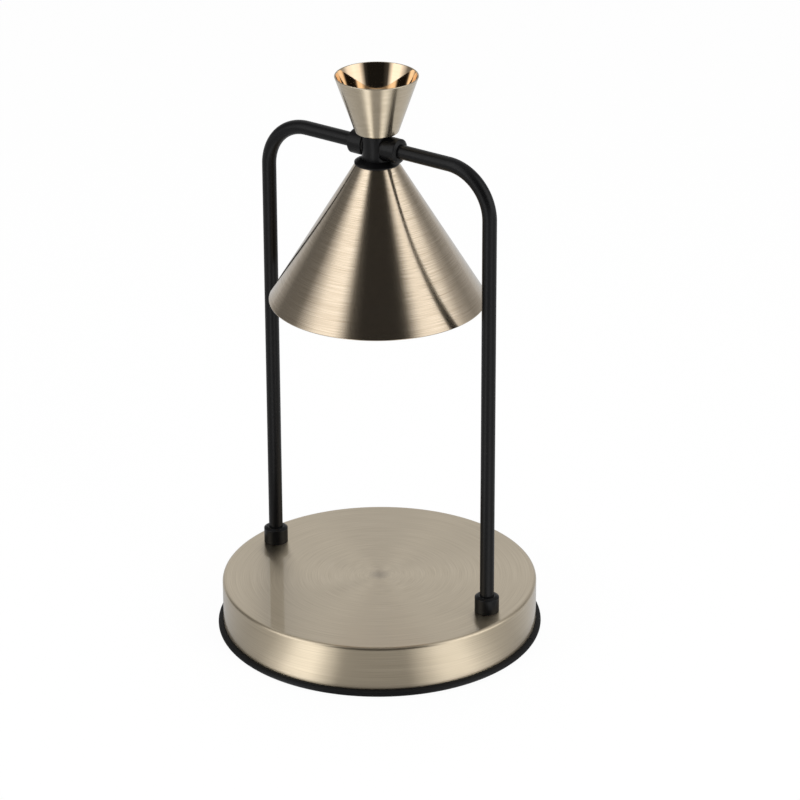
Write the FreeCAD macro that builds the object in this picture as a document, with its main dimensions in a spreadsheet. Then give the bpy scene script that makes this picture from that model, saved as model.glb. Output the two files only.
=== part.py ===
import FreeCAD, Part
import math
import os
from types import SimpleNamespace

import Sketcher

# Candle warmer lamp: a weighted round base, two bent tubes that meet in a tee,
# and a cone shade with a bulb that warms a candle from above.
# Millimetres. Z is up, X runs along the crossbar, and the floor is at Z = 0.

os.makedirs("parts", exist_ok=True)
doc = FreeCAD.newDocument("CandleWarmerLamp")

DRIVING_SIZES = {
    # base
    "base_radius": 90.0,
    "base_top": 29.5,
    "base_sheet": 1.2,
    "base_edge_radius": 1.8,
    "foot_bead": 1.9,
    "foot_bead_reach": 1.0,
    "foot_web": 1.5,
    "foot_lip_height": 5.4,
    "foot_lip_width": 2.4,
    "foot_slot_gap": 0.05,
    "foot_joint_angle": 0.25,
    "foot_joint_direction": 17.0,
    "cover_sheet": 1.0,
    "cover_gap": 0.4,
    "cover_screw_inset": 14.0,
    "cover_screw_count": 3,
    "cover_screw_radius": 2.0,
    "cover_screw_head_radius": 3.8,
    "cover_screw_head": 2.3,
    "cover_screw_length": 10.4,
    "screw_head_edge": 0.8,
    "ballast_inset": 28.0,
    "ballast_thickness": 10.0,
    "ballast_edge": 1.5,
    "ballast_boss_radius": 6.0,
    "gland_height": 14.0,
    "gland_bore_radius": 2.75,
    "gland_neck_radius": 4.0,
    "gland_flange_radius": 5.6,
    "gland_flange": 1.6,
    "block_length": 22.0,
    "block_width": 14.0,
    "block_height": 12.0,
    "block_inset": 16.0,
    "block_wire_radius": 2.2,
    "block_wire_pitch": 9.0,
    "block_wire_drop": 7.2,
    "block_edge": 0.8,
    "block_screw_radius": 2.6,
    # frame
    "leg_inset": 14.8,
    "leg_rise": 262.0,
    "tube_radius": 4.0,
    "tube_wall": 0.8,
    "bend_radius": 27.0,
    "tube_end": 2.6,
    "ferrule_radius": 6.9,
    "ferrule_length": 9.8,
    "ferrule_chamfer_rise": 1.1,
    "ferrule_chamfer_run": 1.7,
    "ferrule_seat": 6.2,
    "nipple_radius": 5.0,
    "nipple_bore_radius": 3.4,
    "nipple_length": 16.0,
    "nipple_engagement": 6.0,
    "nut_flats": 14.0,
    "nut_height": 5.0,
    "washer_radius": 9.0,
    "washer_sheet": 1.2,
    "clearance_hole_gap": 0.2,
    "fit_gap": 0.05,
    # tee and friction washers
    "friction_washer_radius": 6.2,
    "friction_washer_sheet": 0.8,
    "swivel_gap": 0.1,
    "tee_radius": 8.2,
    "tee_above": 8.2,
    "tee_below": 7.4,
    "tee_spot_face": 5.8,
    "tee_seat_gap": 0.25,
    "tee_spigot_radius": 6.4,
    "tee_spigot_length": 1.9,
    "tee_thread_depth": 4.0,
    "tee_wire_radius": 3.2,
    "tee_edge": 0.4,
    # cup
    "cup_foot_radius": 11.9,
    "cup_rim_radius": 23.1,
    "cup_height": 32.3,
    "cup_wall": 0.8,
    "cup_floor": 1.0,
    "cup_foot_round": 1.2,
    "cup_screw_radius": 2.0,
    "cup_screw_head_radius": 3.8,
    "cup_screw_head": 2.3,
    "cup_screw_length": 5.2,
    "cup_washer_radius": 5.0,
    "cup_washer_sheet": 0.8,
    # shade and its cap
    "shade_rim_radius": 60.75,
    "shade_top_radius": 11.7,
    "shade_depth": 80.6,
    "shade_wall": 0.8,
    "shade_hem": 2.4,
    "cap_radius": 12.5,
    "cap_neck_radius": 8.8,
    "cap_lip": 0.5,
    "cap_edge": 0.3,
    # lampholder and its bracket
    "shade_nipple_drop": 7.4,
    "shade_nut_flats": 13.0,
    "shade_nut_height": 4.0,
    "lock_washer_radius": 7.2,
    "lock_washer_sheet": 0.8,
    "bracket_sheet": 1.0,
    "bracket_width": 12.4,
    "bracket_span": 18.4,
    "bracket_drop": 13.0,
    "bracket_foot": 6.3,
    "bracket_screw_offset": 12.4,
    "holder_radius": 15.0,
    "holder_height": 15.0,
    "holder_edge": 1.0,
    "holder_lead_radius": 2.3,
    "holder_lead_depth": 6.0,
    "holder_screw_radius": 1.5,
    "holder_screw_head_radius": 2.6,
    "holder_screw_head": 1.9,
    "holder_screw_length": 7.0,
    "keyhole_plate": 2.4,
    "keyhole_cavity": 3.7,
    "keyhole_gap": 0.35,
    "contact_sheet": 0.6,
    "contact_length": 4.0,
    "contact_width": 3.4,
    # bulb with two locking pins
    "pin_pitch_radius": 5.0,
    "pin_radius": 1.4,
    "pin_head_radius": 2.4,
    "pin_shank": 3.3,
    "pin_head": 2.0,
    "pin_head_edge": 0.5,
    "bulb_gap": 0.3,
    "bulb_twist": 30.0,
    "bulb_neck_radius": 9.8,
    "bulb_neck_length": 13.0,
    "bulb_neck_edge": 1.5,
    "bulb_length": 47.6,
    "bulb_radius": 25.0,
    "bulb_rim": 4.0,
    "bulb_curve_radius": 45.0,
    "bulb_glass": 1.4,
    "lens_sheet": 2.2,
    "lens_gap": 0.15,
    "capsule_radius": 4.6,
    "capsule_length": 20.0,
    "capsule_pinch": 6.0,
    "capsule_pinch_radius": 3.4,
    "capsule_nose": 2.6,
    # wiring
    "lead_radius": 2.0,
    "lead_floor_height": 10.0,
    "lead_exit_run": 14.0,
    "lead_first_drop": 5.0,
    "lead_last_drop": 1.0,
    "lead_first_angle": 51.0,
    "lead_second_angle": 32.0,
    "lead_last_angle": 15.0,
    "lead_corner_share": 0.45,
}

sheet = doc.addObject("Spreadsheet::Sheet", "Sizes")
for row, (name, number) in enumerate(DRIVING_SIZES.items(), 1):
    sheet.set("A%d" % row, name)
    sheet.set("B%d" % row, str(number))
    sheet.setAlias("B%d" % row, name)
doc.recompute()


class Size:
    # A number together with the sheet formula that gives it.
    def __init__(self, value, text):
        self.value = value
        self.text = text

    def __add__(self, other):
        other = as_size(other)
        return Size(self.value + other.value, "(%s + %s)" % (self.text, other.text))

    def __sub__(self, other):
        other = as_size(other)
        return Size(self.value - other.value, "(%s - %s)" % (self.text, other.text))

    def __mul__(self, other):
        other = as_size(other)
        return Size(self.value * other.value, "(%s * %s)" % (self.text, other.text))

    def __truediv__(self, other):
        other = as_size(other)
        return Size(self.value / other.value, "(%s / %s)" % (self.text, other.text))

    def __neg__(self):
        return Size(-self.value, "(0 - %s)" % self.text)


def as_size(number):
    if isinstance(number, Size):
        return number
    return Size(float(number), repr(float(number)))


def sine(angle):
    angle = as_size(angle)
    return Size(math.sin(math.radians(angle.value)), "sin(%s)" % angle.text)


def cosine(angle):
    angle = as_size(angle)
    return Size(math.cos(math.radians(angle.value)), "cos(%s)" % angle.text)


at = SimpleNamespace()
for name in DRIVING_SIZES:
    setattr(at, name, Size(float(getattr(sheet, name)), "Sizes." + name))

# Places that several pieces share.
leg_offset = at.base_radius - at.leg_inset
block_offset = at.base_radius - at.block_inset
ballast_radius = at.base_radius - at.ballast_inset
cover_screw_circle = ballast_radius - at.cover_screw_inset
foot_bead_centre = at.base_radius + at.foot_bead_reach
bar_height = at.base_top + at.leg_rise
sheet_underside = at.base_top - at.base_sheet
cover_top = at.foot_lip_height + at.cover_sheet
skirt_inside = at.base_radius - at.base_sheet
tee_top = bar_height + at.tee_above
shade_top = bar_height - at.tee_below - at.tee_spigot_length
shade_slope = (at.shade_rim_radius - at.shade_top_radius) / at.shade_depth
holder_top = shade_top - at.shade_wall - at.bracket_drop
holder_face = holder_top - at.holder_height
bulb_shoulder = holder_face - at.bulb_gap
thread_gap_radius = at.nipple_radius + at.fit_gap
tube_fit_radius = at.tube_radius + at.fit_gap

pieces = []


def bind(thing, path, size):
    thing.setExpression(path, as_size(size).text)


def add_body(name, is_piece=True):
    body = doc.addObject("PartDesign::Body", name)
    body.Label = name
    if is_piece:
        pieces.append(body)
    return body


def place(thing, x=0, y=0, z=0, axis=(0, 0, 1), turn=0):
    rotation = FreeCAD.Rotation(FreeCAD.Vector(*axis), turn)
    thing.Placement = FreeCAD.Placement(FreeCAD.Vector(0, 0, 0), rotation)
    for direction, size in (("x", x), ("y", y), ("z", z)):
        bind(thing, "Placement.Base." + direction, size)


def add_sketch(body, suffix, role, offset=0):
    sketch = body.newObject("Sketcher::SketchObject", body.Name + "_" + suffix)
    for feature in body.Origin.OriginFeatures:
        if feature.Role == role:
            sketch.AttachmentSupport = [(feature, "")]
    sketch.MapMode = "FlatFace"
    bind(sketch, "AttachmentOffset.Base.z", offset)
    return sketch


def hold_point(sketch, geometry, point, across, up):
    # Ties one point of the sketch to its distances from the origin.
    for kind, axis, size in (("DistanceX", -2, across), ("DistanceY", -1, up)):
        size = as_size(size)
        if size.text == "0.0":
            sketch.addConstraint(Sketcher.Constraint("PointOnObject", geometry, point, axis))
            continue
        held = Sketcher.Constraint(kind, -1, 1, geometry, point, size.value)
        index = sketch.addConstraint(held)
        sketch.setExpression("Constraints[%d]" % index, size.text)


def hold_radius(sketch, geometry, radius):
    index = sketch.addConstraint(Sketcher.Constraint("Radius", geometry, radius.value))
    sketch.setExpression("Constraints[%d]" % index, radius.text)


def arc_between(start, end, radius, side):
    # side is 1 where the arc's centre is on the left of the way from start to end.
    step = end - start
    half = step.Length / 2
    rise = math.sqrt(max(radius ** 2 - half ** 2, 0))
    left = FreeCAD.Vector(-step.y, step.x, 0).normalize()
    centre = (start + end) * 0.5 + left * rise * side
    first = start if side > 0 else end
    last = end if side > 0 else start
    circle = Part.Circle(centre, FreeCAD.Vector(0, 0, 1), radius)
    from_angle = math.atan2(first.y - centre.y, first.x - centre.x)
    to_angle = math.atan2(last.y - centre.y, last.x - centre.x)
    return Part.ArcOfCircle(circle, from_angle, to_angle)


def draw_outline(sketch, corners):
    # A corner is (across, up), or (across, up, radius, side) where an arc leads to the next.
    spots = []
    for corner in corners:
        spots.append(FreeCAD.Vector(as_size(corner[0]).value, as_size(corner[1]).value, 0))
    ends = []
    for index, corner in enumerate(corners):
        start = spots[index]
        end = spots[(index + 1) % len(spots)]
        if len(corner) == 2:
            geometry = sketch.addGeometry(Part.LineSegment(start, end))
            ends.append((geometry, 1, 2))
            continue
        radius = as_size(corner[2])
        side = corner[3]
        geometry = sketch.addGeometry(arc_between(start, end, radius.value, side))
        hold_radius(sketch, geometry, radius)
        ends.append((geometry, 1, 2) if side > 0 else (geometry, 2, 1))
    for index, (geometry, first, last) in enumerate(ends):
        following, next_first, next_last = ends[(index + 1) % len(ends)]
        sketch.addConstraint(
            Sketcher.Constraint("Coincident", geometry, last, following, next_first)
        )
    for (geometry, first, last), corner in zip(ends, corners):
        hold_point(sketch, geometry, first, corner[0], corner[1])


def draw_circle(sketch, across, up, radius):
    across = as_size(across)
    up = as_size(up)
    centre = FreeCAD.Vector(across.value, up.value, 0)
    circle = Part.Circle(centre, FreeCAD.Vector(0, 0, 1), radius.value)
    geometry = sketch.addGeometry(circle)
    hold_point(sketch, geometry, 3, across, up)
    hold_radius(sketch, geometry, radius)


def draw_hexagon(sketch, flats):
    corner = flats / 2 / cosine(30)
    half = corner / 2
    side = flats / 2
    draw_outline(sketch, [
        (corner, 0),
        (half, side),
        (-half, side),
        (-corner, 0),
        (-half, -side),
        (half, -side),
    ])


def turn(body, corners, suffix="profile", degrees=360, backwards=False):
    sketch = add_sketch(body, suffix, "XZ_Plane")
    draw_outline(sketch, corners)
    feature = body.newObject("PartDesign::Revolution", body.Name + "_turned_" + suffix)
    feature.Profile = sketch
    feature.ReferenceAxis = (sketch, ["V_Axis"])
    bind(feature, "Angle", degrees)
    feature.Reversed = backwards
    return feature


def pad(body, sketch, length, symmetric=False, backwards=False):
    feature = body.newObject("PartDesign::Pad", sketch.Name + "_pad")
    feature.Profile = sketch
    bind(feature, "Length", length)
    feature.SideType = "Symmetric" if symmetric else "One side"
    feature.Reversed = backwards
    return feature


def cut(body, sketch, depth=None, symmetric=False, backwards=False):
    feature = body.newObject("PartDesign::Pocket", sketch.Name + "_cut")
    feature.Profile = sketch
    feature.SideType = "Symmetric" if symmetric else "One side"
    if depth is None:
        feature.Type = "ThroughAll"
    else:
        bind(feature, "Length", depth)
    feature.Reversed = backwards
    return feature


def repeat_around(body, features, sketch, count, degrees=360):
    pattern = body.newObject("PartDesign::PolarPattern", features[-1].Name + "_around")
    pattern.Originals = features
    pattern.Axis = (sketch, ["N_Axis"])
    pattern.Angle = degrees
    bind(pattern, "Occurrences", count)
    body.Tip = pattern
    return pattern


def ring_edges(feature, radius, height):
    # The circular edges about Z with this radius and height.
    doc.recompute()
    names = []
    for number, edge in enumerate(feature.Shape.Edges, 1):
        if not isinstance(edge.Curve, Part.Circle):
            continue
        off_radius = abs(edge.Curve.Radius - as_size(radius).value)
        off_height = abs(edge.Curve.Center.z - as_size(height).value)
        if off_radius < 0.005 and off_height < 0.005:
            names.append("Edge%d" % number)
    return names


def round_rings(body, feature, rings, radius, suffix="round"):
    names = []
    for ring_radius, ring_height in rings:
        names += ring_edges(feature, ring_radius, ring_height)
    fillet = body.newObject("PartDesign::Fillet", body.Name + "_" + suffix)
    fillet.Base = (feature, names)
    bind(fillet, "Radius", radius)
    return fillet


def chamfer_rings(body, feature, rings, size, suffix="chamfer"):
    names = []
    for ring_radius, ring_height in rings:
        names += ring_edges(feature, ring_radius, ring_height)
    chamfer = body.newObject("PartDesign::Chamfer", body.Name + "_" + suffix)
    chamfer.Base = (feature, names)
    bind(chamfer, "Size", size)
    return chamfer


def group(name, members):
    # Several loose pieces of one kind that share a node.
    compound = doc.addObject("Part::Compound", name)
    compound.Label = name
    compound.Links = members
    pieces.append(compound)
    return compound


# Base

def make_base_shell():
    # Pressed steel pan, open below, with a hole for each leg and one for the cord.
    body = add_body("base_shell")
    skirt_bottom = at.foot_web
    shell = turn(body, [
        (0, at.base_top),
        (at.base_radius, at.base_top),
        (at.base_radius, skirt_bottom),
        (skirt_inside, skirt_bottom),
        (skirt_inside, sheet_underside),
        (0, sheet_underside),
    ])
    outer = round_rings(
        body, shell, [(at.base_radius, at.base_top)], at.base_edge_radius, "outer_bend"
    )
    inner_bend = at.base_edge_radius - at.base_sheet
    chamfer_rings(body, outer, [(skirt_inside, sheet_underside)], inner_bend, "inner_bend")
    legs = add_sketch(body, "leg_holes", "XY_Plane")
    hole = at.nipple_radius + at.clearance_hole_gap
    draw_circle(legs, leg_offset, 0, hole)
    draw_circle(legs, -leg_offset, 0, hole)
    cut(body, legs, backwards=True)
    cord = add_sketch(body, "cord_hole", "XZ_Plane")
    draw_circle(cord, 0, at.gland_height, at.gland_neck_radius + at.fit_gap)
    cut(body, cord, at.base_radius + at.base_sheet, backwards=False)


def make_rubber_edge_ring():
    # U-section edging pushed over the skirt, with its two ends butted together.
    body = add_body("rubber_edge_ring")
    slot_outside = at.base_radius + at.foot_slot_gap
    slot_inside = skirt_inside - at.foot_slot_gap
    lip_inside = slot_inside - at.foot_lip_width
    bead_out = foot_bead_centre + at.foot_bead
    turn(body, [
        (lip_inside, 0),
        (foot_bead_centre, 0, at.foot_bead, 1),
        (bead_out, at.foot_bead, at.foot_bead, 1),
        (foot_bead_centre, at.foot_bead * 2),
        (slot_outside, at.foot_bead * 2),
        (slot_outside, at.foot_web),
        (slot_inside, at.foot_web),
        (slot_inside, at.foot_lip_height),
        (lip_inside, at.foot_lip_height),
    ], degrees=as_size(360) - at.foot_joint_angle)
    place(body, turn=at.foot_joint_direction.value)


def make_bottom_cover():
    body = add_body("bottom_cover")
    radius = skirt_inside - at.cover_gap
    turn(body, [
        (0, at.foot_lip_height),
        (radius, at.foot_lip_height),
        (radius, cover_top),
        (0, cover_top),
    ])
    holes = add_sketch(body, "screw_hole", "XY_Plane")
    hole = at.cover_screw_radius + at.clearance_hole_gap
    draw_circle(holes, 0, cover_screw_circle, hole)
    first = cut(body, holes, backwards=True)
    repeat_around(body, [first], holes, at.cover_screw_count)


def make_cover_screws():
    # Pan head screws from below into the bosses of the ballast.
    screws = []
    for number in range(int(at.cover_screw_count.value)):
        body = add_body("cover_screw_%d" % (number + 1), is_piece=False)
        angle = as_size(360) / at.cover_screw_count * number
        pan_head_screw(body, at.cover_screw_radius, at.cover_screw_head_radius,
                       at.cover_screw_head, at.cover_screw_length)
        place(
            body,
            cover_screw_circle * sine(angle),
            cover_screw_circle * cosine(angle),
            at.foot_lip_height,
            axis=(1, 0, 0),
            turn=180,
        )
        screws.append(body)
    group("cover_screws", screws)


def pan_head_screw(body, radius, head_radius, head, length):
    # The head's underside is at the origin, the head is above it and the shank below.
    shape = turn(body, [
        (0, -length),
        (radius, -length),
        (radius, 0),
        (head_radius, 0),
        (head_radius, head),
        (0, head),
    ])
    chamfer_rings(body, shape, [(head_radius, head)], at.screw_head_edge)


def make_ballast_weight():
    # Cast disc under the top sheet, with bosses that reach down to the cover.
    body = add_body("ballast_weight")
    underside = sheet_underside - at.ballast_thickness
    disc = turn(body, [
        (0, underside),
        (ballast_radius, underside),
        (ballast_radius, sheet_underside),
        (0, sheet_underside),
    ])
    chamfer_rings(body, disc, [(ballast_radius, underside)], at.ballast_edge)
    boss_sketch = add_sketch(body, "boss", "XY_Plane", cover_top)
    draw_circle(boss_sketch, 0, cover_screw_circle, at.ballast_boss_radius)
    boss = pad(body, boss_sketch, underside - cover_top)
    repeat_around(body, [boss], boss_sketch, at.cover_screw_count)
    hole_sketch = add_sketch(body, "tapped_hole", "XY_Plane", cover_top)
    draw_circle(hole_sketch, 0, cover_screw_circle, at.cover_screw_radius + at.fit_gap)
    hole = cut(body, hole_sketch, at.cover_screw_length, backwards=True)
    repeat_around(body, [hole], hole_sketch, at.cover_screw_count)


def make_cord_gland():
    # Snap-in grommet; the skirt lies in its groove.
    body = add_body("cord_gland")
    sag = skirt_inside.value - math.sqrt(
        skirt_inside.value ** 2 - at.gland_flange_radius.value ** 2
    )
    neck = at.base_sheet + sag + at.fit_gap
    turn(body, [
        (at.gland_bore_radius, at.gland_flange),
        (at.gland_flange_radius, at.gland_flange),
        (at.gland_flange_radius, at.fit_gap),
        (at.gland_neck_radius, at.fit_gap),
        (at.gland_neck_radius, -neck),
        (at.gland_flange_radius, -neck),
        (at.gland_flange_radius, -neck - at.gland_flange),
        (at.gland_bore_radius, -neck - at.gland_flange),
    ])
    place(body, 0, at.base_radius, at.gland_height, axis=(1, 0, 0), turn=-90)


def make_terminal_block():
    # Two-way block screwed under the top sheet, between the ballast and the skirt.
    body = add_body("terminal_block")
    half_length = at.block_length / 2
    half_width = at.block_width / 2
    base_sketch = add_sketch(body, "outline", "XY_Plane")
    draw_outline(base_sketch, [
        (-half_length, -half_width),
        (half_length, -half_width),
        (half_length, half_width),
        (-half_length, half_width),
    ])
    block = pad(body, base_sketch, at.block_height)
    doc.recompute()
    upright = []
    for number, edge in enumerate(block.Shape.Edges, 1):
        if abs(edge.BoundBox.ZLength - at.block_height.value) < 0.001:
            upright.append("Edge%d" % number)
    fillet = body.newObject("PartDesign::Fillet", "terminal_block_round")
    fillet.Base = (block, upright)
    bind(fillet, "Radius", at.block_edge)
    wires = add_sketch(body, "wire_way", "YZ_Plane")
    draw_circle(wires, 0, at.block_height - at.block_wire_drop, at.block_wire_radius)
    cut(body, wires, symmetric=True)
    screw_sketch = add_sketch(body, "screw_ways", "XY_Plane")
    for side in (-1, 1):
        draw_circle(screw_sketch, at.block_wire_pitch * side / 2, 0, at.block_screw_radius)
    cut(body, screw_sketch, at.block_height - at.block_wire_drop, backwards=True)
    place(body, 0, block_offset, sheet_underside - at.block_height)


def make_terminal_screws():
    screws = []
    for side in (-1, 1):
        name = "terminal_screw_left" if side < 0 else "terminal_screw_right"
        body = add_body(name, is_piece=False)
        grip = at.block_height - at.block_wire_drop - at.lead_radius - at.fit_gap
        sketch = add_sketch(body, "outline", "XY_Plane")
        draw_circle(sketch, 0, 0, at.block_screw_radius - at.fit_gap)
        pad(body, sketch, grip)
        place(body, at.block_wire_pitch * side / 2, block_offset,
              sheet_underside - at.block_height)
        screws.append(body)
    group("terminal_screws", screws)


# Frame

def make_leg_nipple(name, side):
    # Hollow threaded stem that clamps the ferrule to the top sheet.
    body = add_body(name)
    turn(body, [
        (at.nipple_bore_radius, 0),
        (at.nipple_radius, 0),
        (at.nipple_radius, at.nipple_length),
        (at.nipple_bore_radius, at.nipple_length),
    ])
    foot = at.base_top + at.nipple_engagement - at.nipple_length
    place(body, leg_offset * side, 0, foot)


def make_leg_washer(name, side):
    body = add_body(name)
    inside = at.nipple_radius + at.clearance_hole_gap
    turn(body, [
        (inside, 0),
        (at.washer_radius, 0),
        (at.washer_radius, at.washer_sheet),
        (inside, at.washer_sheet),
    ])
    place(body, leg_offset * side, 0, sheet_underside - at.washer_sheet)


def hex_nut(body, flats, height):
    blank = add_sketch(body, "hexagon", "XY_Plane")
    draw_hexagon(blank, flats)
    pad(body, blank, height)
    thread = add_sketch(body, "thread", "XY_Plane")
    draw_circle(thread, 0, 0, thread_gap_radius)
    cut(body, thread, backwards=True)


def make_leg_nut(name, side):
    body = add_body(name)
    hex_nut(body, at.nut_flats, at.nut_height)
    place(body, leg_offset * side, 0,
          sheet_underside - at.washer_sheet - at.nut_height)


def ferrule_profile(body, foot_bore, foot_depth):
    # Turned collar with a chamfered end that fits the tube.
    turn(body, [
        (foot_bore, 0),
        (at.ferrule_radius, 0),
        (at.ferrule_radius, at.ferrule_length - at.ferrule_chamfer_rise),
        (at.ferrule_radius - at.ferrule_chamfer_run, at.ferrule_length),
        (tube_fit_radius, at.ferrule_length),
        (tube_fit_radius, foot_depth),
        (foot_bore, foot_depth),
    ])


def make_leg_ferrule(name, side):
    body = add_body(name)
    ferrule_profile(body, thread_gap_radius, at.ferrule_seat)
    place(body, leg_offset * side, 0, at.base_top)


def make_tee_ferrule(name, side):
    body = add_body(name)
    recess = thread_gap_radius
    ferrule_profile(body, recess, at.ferrule_chamfer_rise)
    start = at.tee_spot_face + at.swivel_gap + at.friction_washer_sheet
    place(body, start * side, 0, bar_height, axis=(0, 1, 0), turn=90 * side)


def make_friction_washer(name, side):
    # Thin fibre washer that gives the head its drag.
    body = add_body(name)
    turn(body, [
        (tube_fit_radius, 0),
        (at.friction_washer_radius, 0),
        (at.friction_washer_radius, at.friction_washer_sheet),
        (tube_fit_radius, at.friction_washer_sheet),
    ])
    start = at.tee_spot_face + at.swivel_gap
    place(body, start * side, 0, bar_height, axis=(0, 1, 0), turn=90 * side)


def make_frame_tube(name, turned):
    # One bent tube: up from its ferrule, round the bend and along the crossbar.
    body = add_body(name)
    foot = at.base_top + at.ferrule_seat
    rise = bar_height - foot
    reach = leg_offset - at.tube_end
    bend = at.bend_radius
    path = add_sketch(body, "path", "XZ_Plane")
    bend_start = FreeCAD.Vector(0, rise.value - bend.value, 0)
    bend_end = FreeCAD.Vector(-bend.value, rise.value, 0)
    bar_end = FreeCAD.Vector(-reach.value, rise.value, 0)
    leg = path.addGeometry(Part.LineSegment(FreeCAD.Vector(0, 0, 0), bend_start))
    curve = path.addGeometry(arc_between(bend_start, bend_end, bend.value, 1))
    bar = path.addGeometry(Part.LineSegment(bend_end, bar_end))
    path.addConstraint(Sketcher.Constraint("Coincident", leg, 1, -1, 1))
    path.addConstraint(Sketcher.Constraint("Vertical", leg))
    path.addConstraint(Sketcher.Constraint("Tangent", leg, 2, curve, 1))
    path.addConstraint(Sketcher.Constraint("Tangent", curve, 2, bar, 1))
    path.addConstraint(Sketcher.Constraint("Horizontal", bar))
    hold_radius(path, curve, bend)
    hold_point(path, bar, 2, -reach, rise)
    section = add_sketch(body, "section", "XY_Plane")
    draw_circle(section, 0, 0, at.tube_radius)
    draw_circle(section, 0, 0, at.tube_radius - at.tube_wall)
    pipe = body.newObject("PartDesign::AdditivePipe", name + "_pipe")
    pipe.Profile = section
    pipe.Spine = (path, ["Edge1", "Edge2", "Edge3"])
    side = -1 if turned else 1
    place(body, leg_offset * side, 0, foot, turn=180 if turned else 0)


# Head: everything that turns on the crossbar

def make_tee_body():
    # Cross-bored stem between the cup and the shade, with a flat seat at each collar.
    body = add_body("tee_body")
    spigot_bottom = -at.tee_below - at.tee_spigot_length
    thread_top = spigot_bottom + at.tee_thread_depth
    screw = at.cup_screw_radius + at.fit_gap
    stem = turn(body, [
        (thread_gap_radius, spigot_bottom),
        (at.tee_spigot_radius, spigot_bottom),
        (at.tee_spigot_radius, -at.tee_below),
        (at.tee_radius, -at.tee_below),
        (at.tee_radius, at.tee_above),
        (screw, at.tee_above),
        (screw, 0),
        (at.tee_wire_radius, 0),
        (at.tee_wire_radius, thread_top),
        (thread_gap_radius, thread_top),
    ])
    chamfer_rings(body, stem, [(at.tee_radius, at.tee_above)], at.tee_edge)
    bar = add_sketch(body, "bar_bore", "YZ_Plane")
    draw_circle(bar, 0, 0, tube_fit_radius)
    cut(body, bar, symmetric=True)
    for side in (-1, 1):
        name = "left_seat" if side < 0 else "right_seat"
        seat = add_sketch(body, name, "YZ_Plane", at.tee_spot_face * side)
        draw_circle(seat, 0, 0, at.ferrule_radius + at.tee_seat_gap)
        cut(body, seat, at.tee_radius, backwards=side > 0)
    place(body, 0, 0, bar_height)


def make_cup():
    # Small open cone on top, spun from sheet.
    body = add_body("cup")
    flare = (at.cup_rim_radius - at.cup_foot_radius) / at.cup_height
    hole = at.cup_screw_radius + at.clearance_hole_gap
    inner_foot = at.cup_foot_radius - at.cup_wall + flare * at.cup_floor
    shell = turn(body, [
        (hole, 0),
        (at.cup_foot_radius, 0),
        (at.cup_rim_radius, at.cup_height),
        (at.cup_rim_radius - at.cup_wall, at.cup_height),
        (inner_foot, at.cup_floor),
        (hole, at.cup_floor),
    ])
    round_rings(body, shell, [(at.cup_foot_radius, 0)], at.cup_foot_round)
    place(body, 0, 0, tee_top)


def make_cup_washer():
    body = add_body("cup_washer")
    hole = at.cup_screw_radius + at.clearance_hole_gap
    turn(body, [
        (hole, 0),
        (at.cup_washer_radius, 0),
        (at.cup_washer_radius, at.cup_washer_sheet),
        (hole, at.cup_washer_sheet),
    ])
    place(body, 0, 0, tee_top + at.cup_floor)


def make_cup_screw():
    body = add_body("cup_screw")
    pan_head_screw(body, at.cup_screw_radius, at.cup_screw_head_radius,
                   at.cup_screw_head, at.cup_screw_length)
    place(body, 0, 0, tee_top + at.cup_floor + at.cup_washer_sheet)


def make_shade_cap():
    # Sloping collar round the stem's foot that hides the top of the cone.
    body = add_body("shade_cap")
    bore = at.tee_spigot_radius + at.fit_gap
    lip_gap = at.fit_gap * 2
    turn(body, [
        (bore, 0),
        (at.shade_top_radius + lip_gap, 0),
        (at.shade_top_radius + shade_slope * at.cap_lip + lip_gap, -at.cap_lip),
        (at.cap_radius, -at.cap_lip),
        (at.cap_radius, at.cap_edge),
        (at.cap_neck_radius, at.tee_spigot_length),
        (bore, at.tee_spigot_length),
    ])
    place(body, 0, 0, shade_top)


def make_shade():
    # Spun cone with a flat top and a hem folded inside its rim.
    body = add_body("shade")
    hole = at.nipple_radius + at.clearance_hole_gap
    inner_rim = at.shade_rim_radius - at.shade_wall
    hem_top = inner_rim - shade_slope * at.shade_hem
    top_inside = at.shade_depth - at.shade_wall
    turn(body, [
        (hole, at.shade_depth),
        (at.shade_top_radius, at.shade_depth),
        (at.shade_rim_radius, 0),
        (inner_rim - at.shade_wall, 0),
        (hem_top - at.shade_wall, at.shade_hem),
        (hem_top, at.shade_hem),
        (inner_rim - shade_slope * top_inside, top_inside),
        (hole, top_inside),
    ])
    place(body, 0, 0, shade_top - at.shade_depth)


def make_shade_nipple():
    # Hollow threaded stem that hangs the shade and the bracket from the tee.
    body = add_body("shade_nipple")
    top = at.tee_thread_depth - at.fit_gap * 2
    turn(body, [
        (at.nipple_bore_radius, -at.shade_nipple_drop),
        (at.nipple_radius, -at.shade_nipple_drop),
        (at.nipple_radius, top),
        (at.nipple_bore_radius, top),
    ])
    place(body, 0, 0, shade_top)


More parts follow.
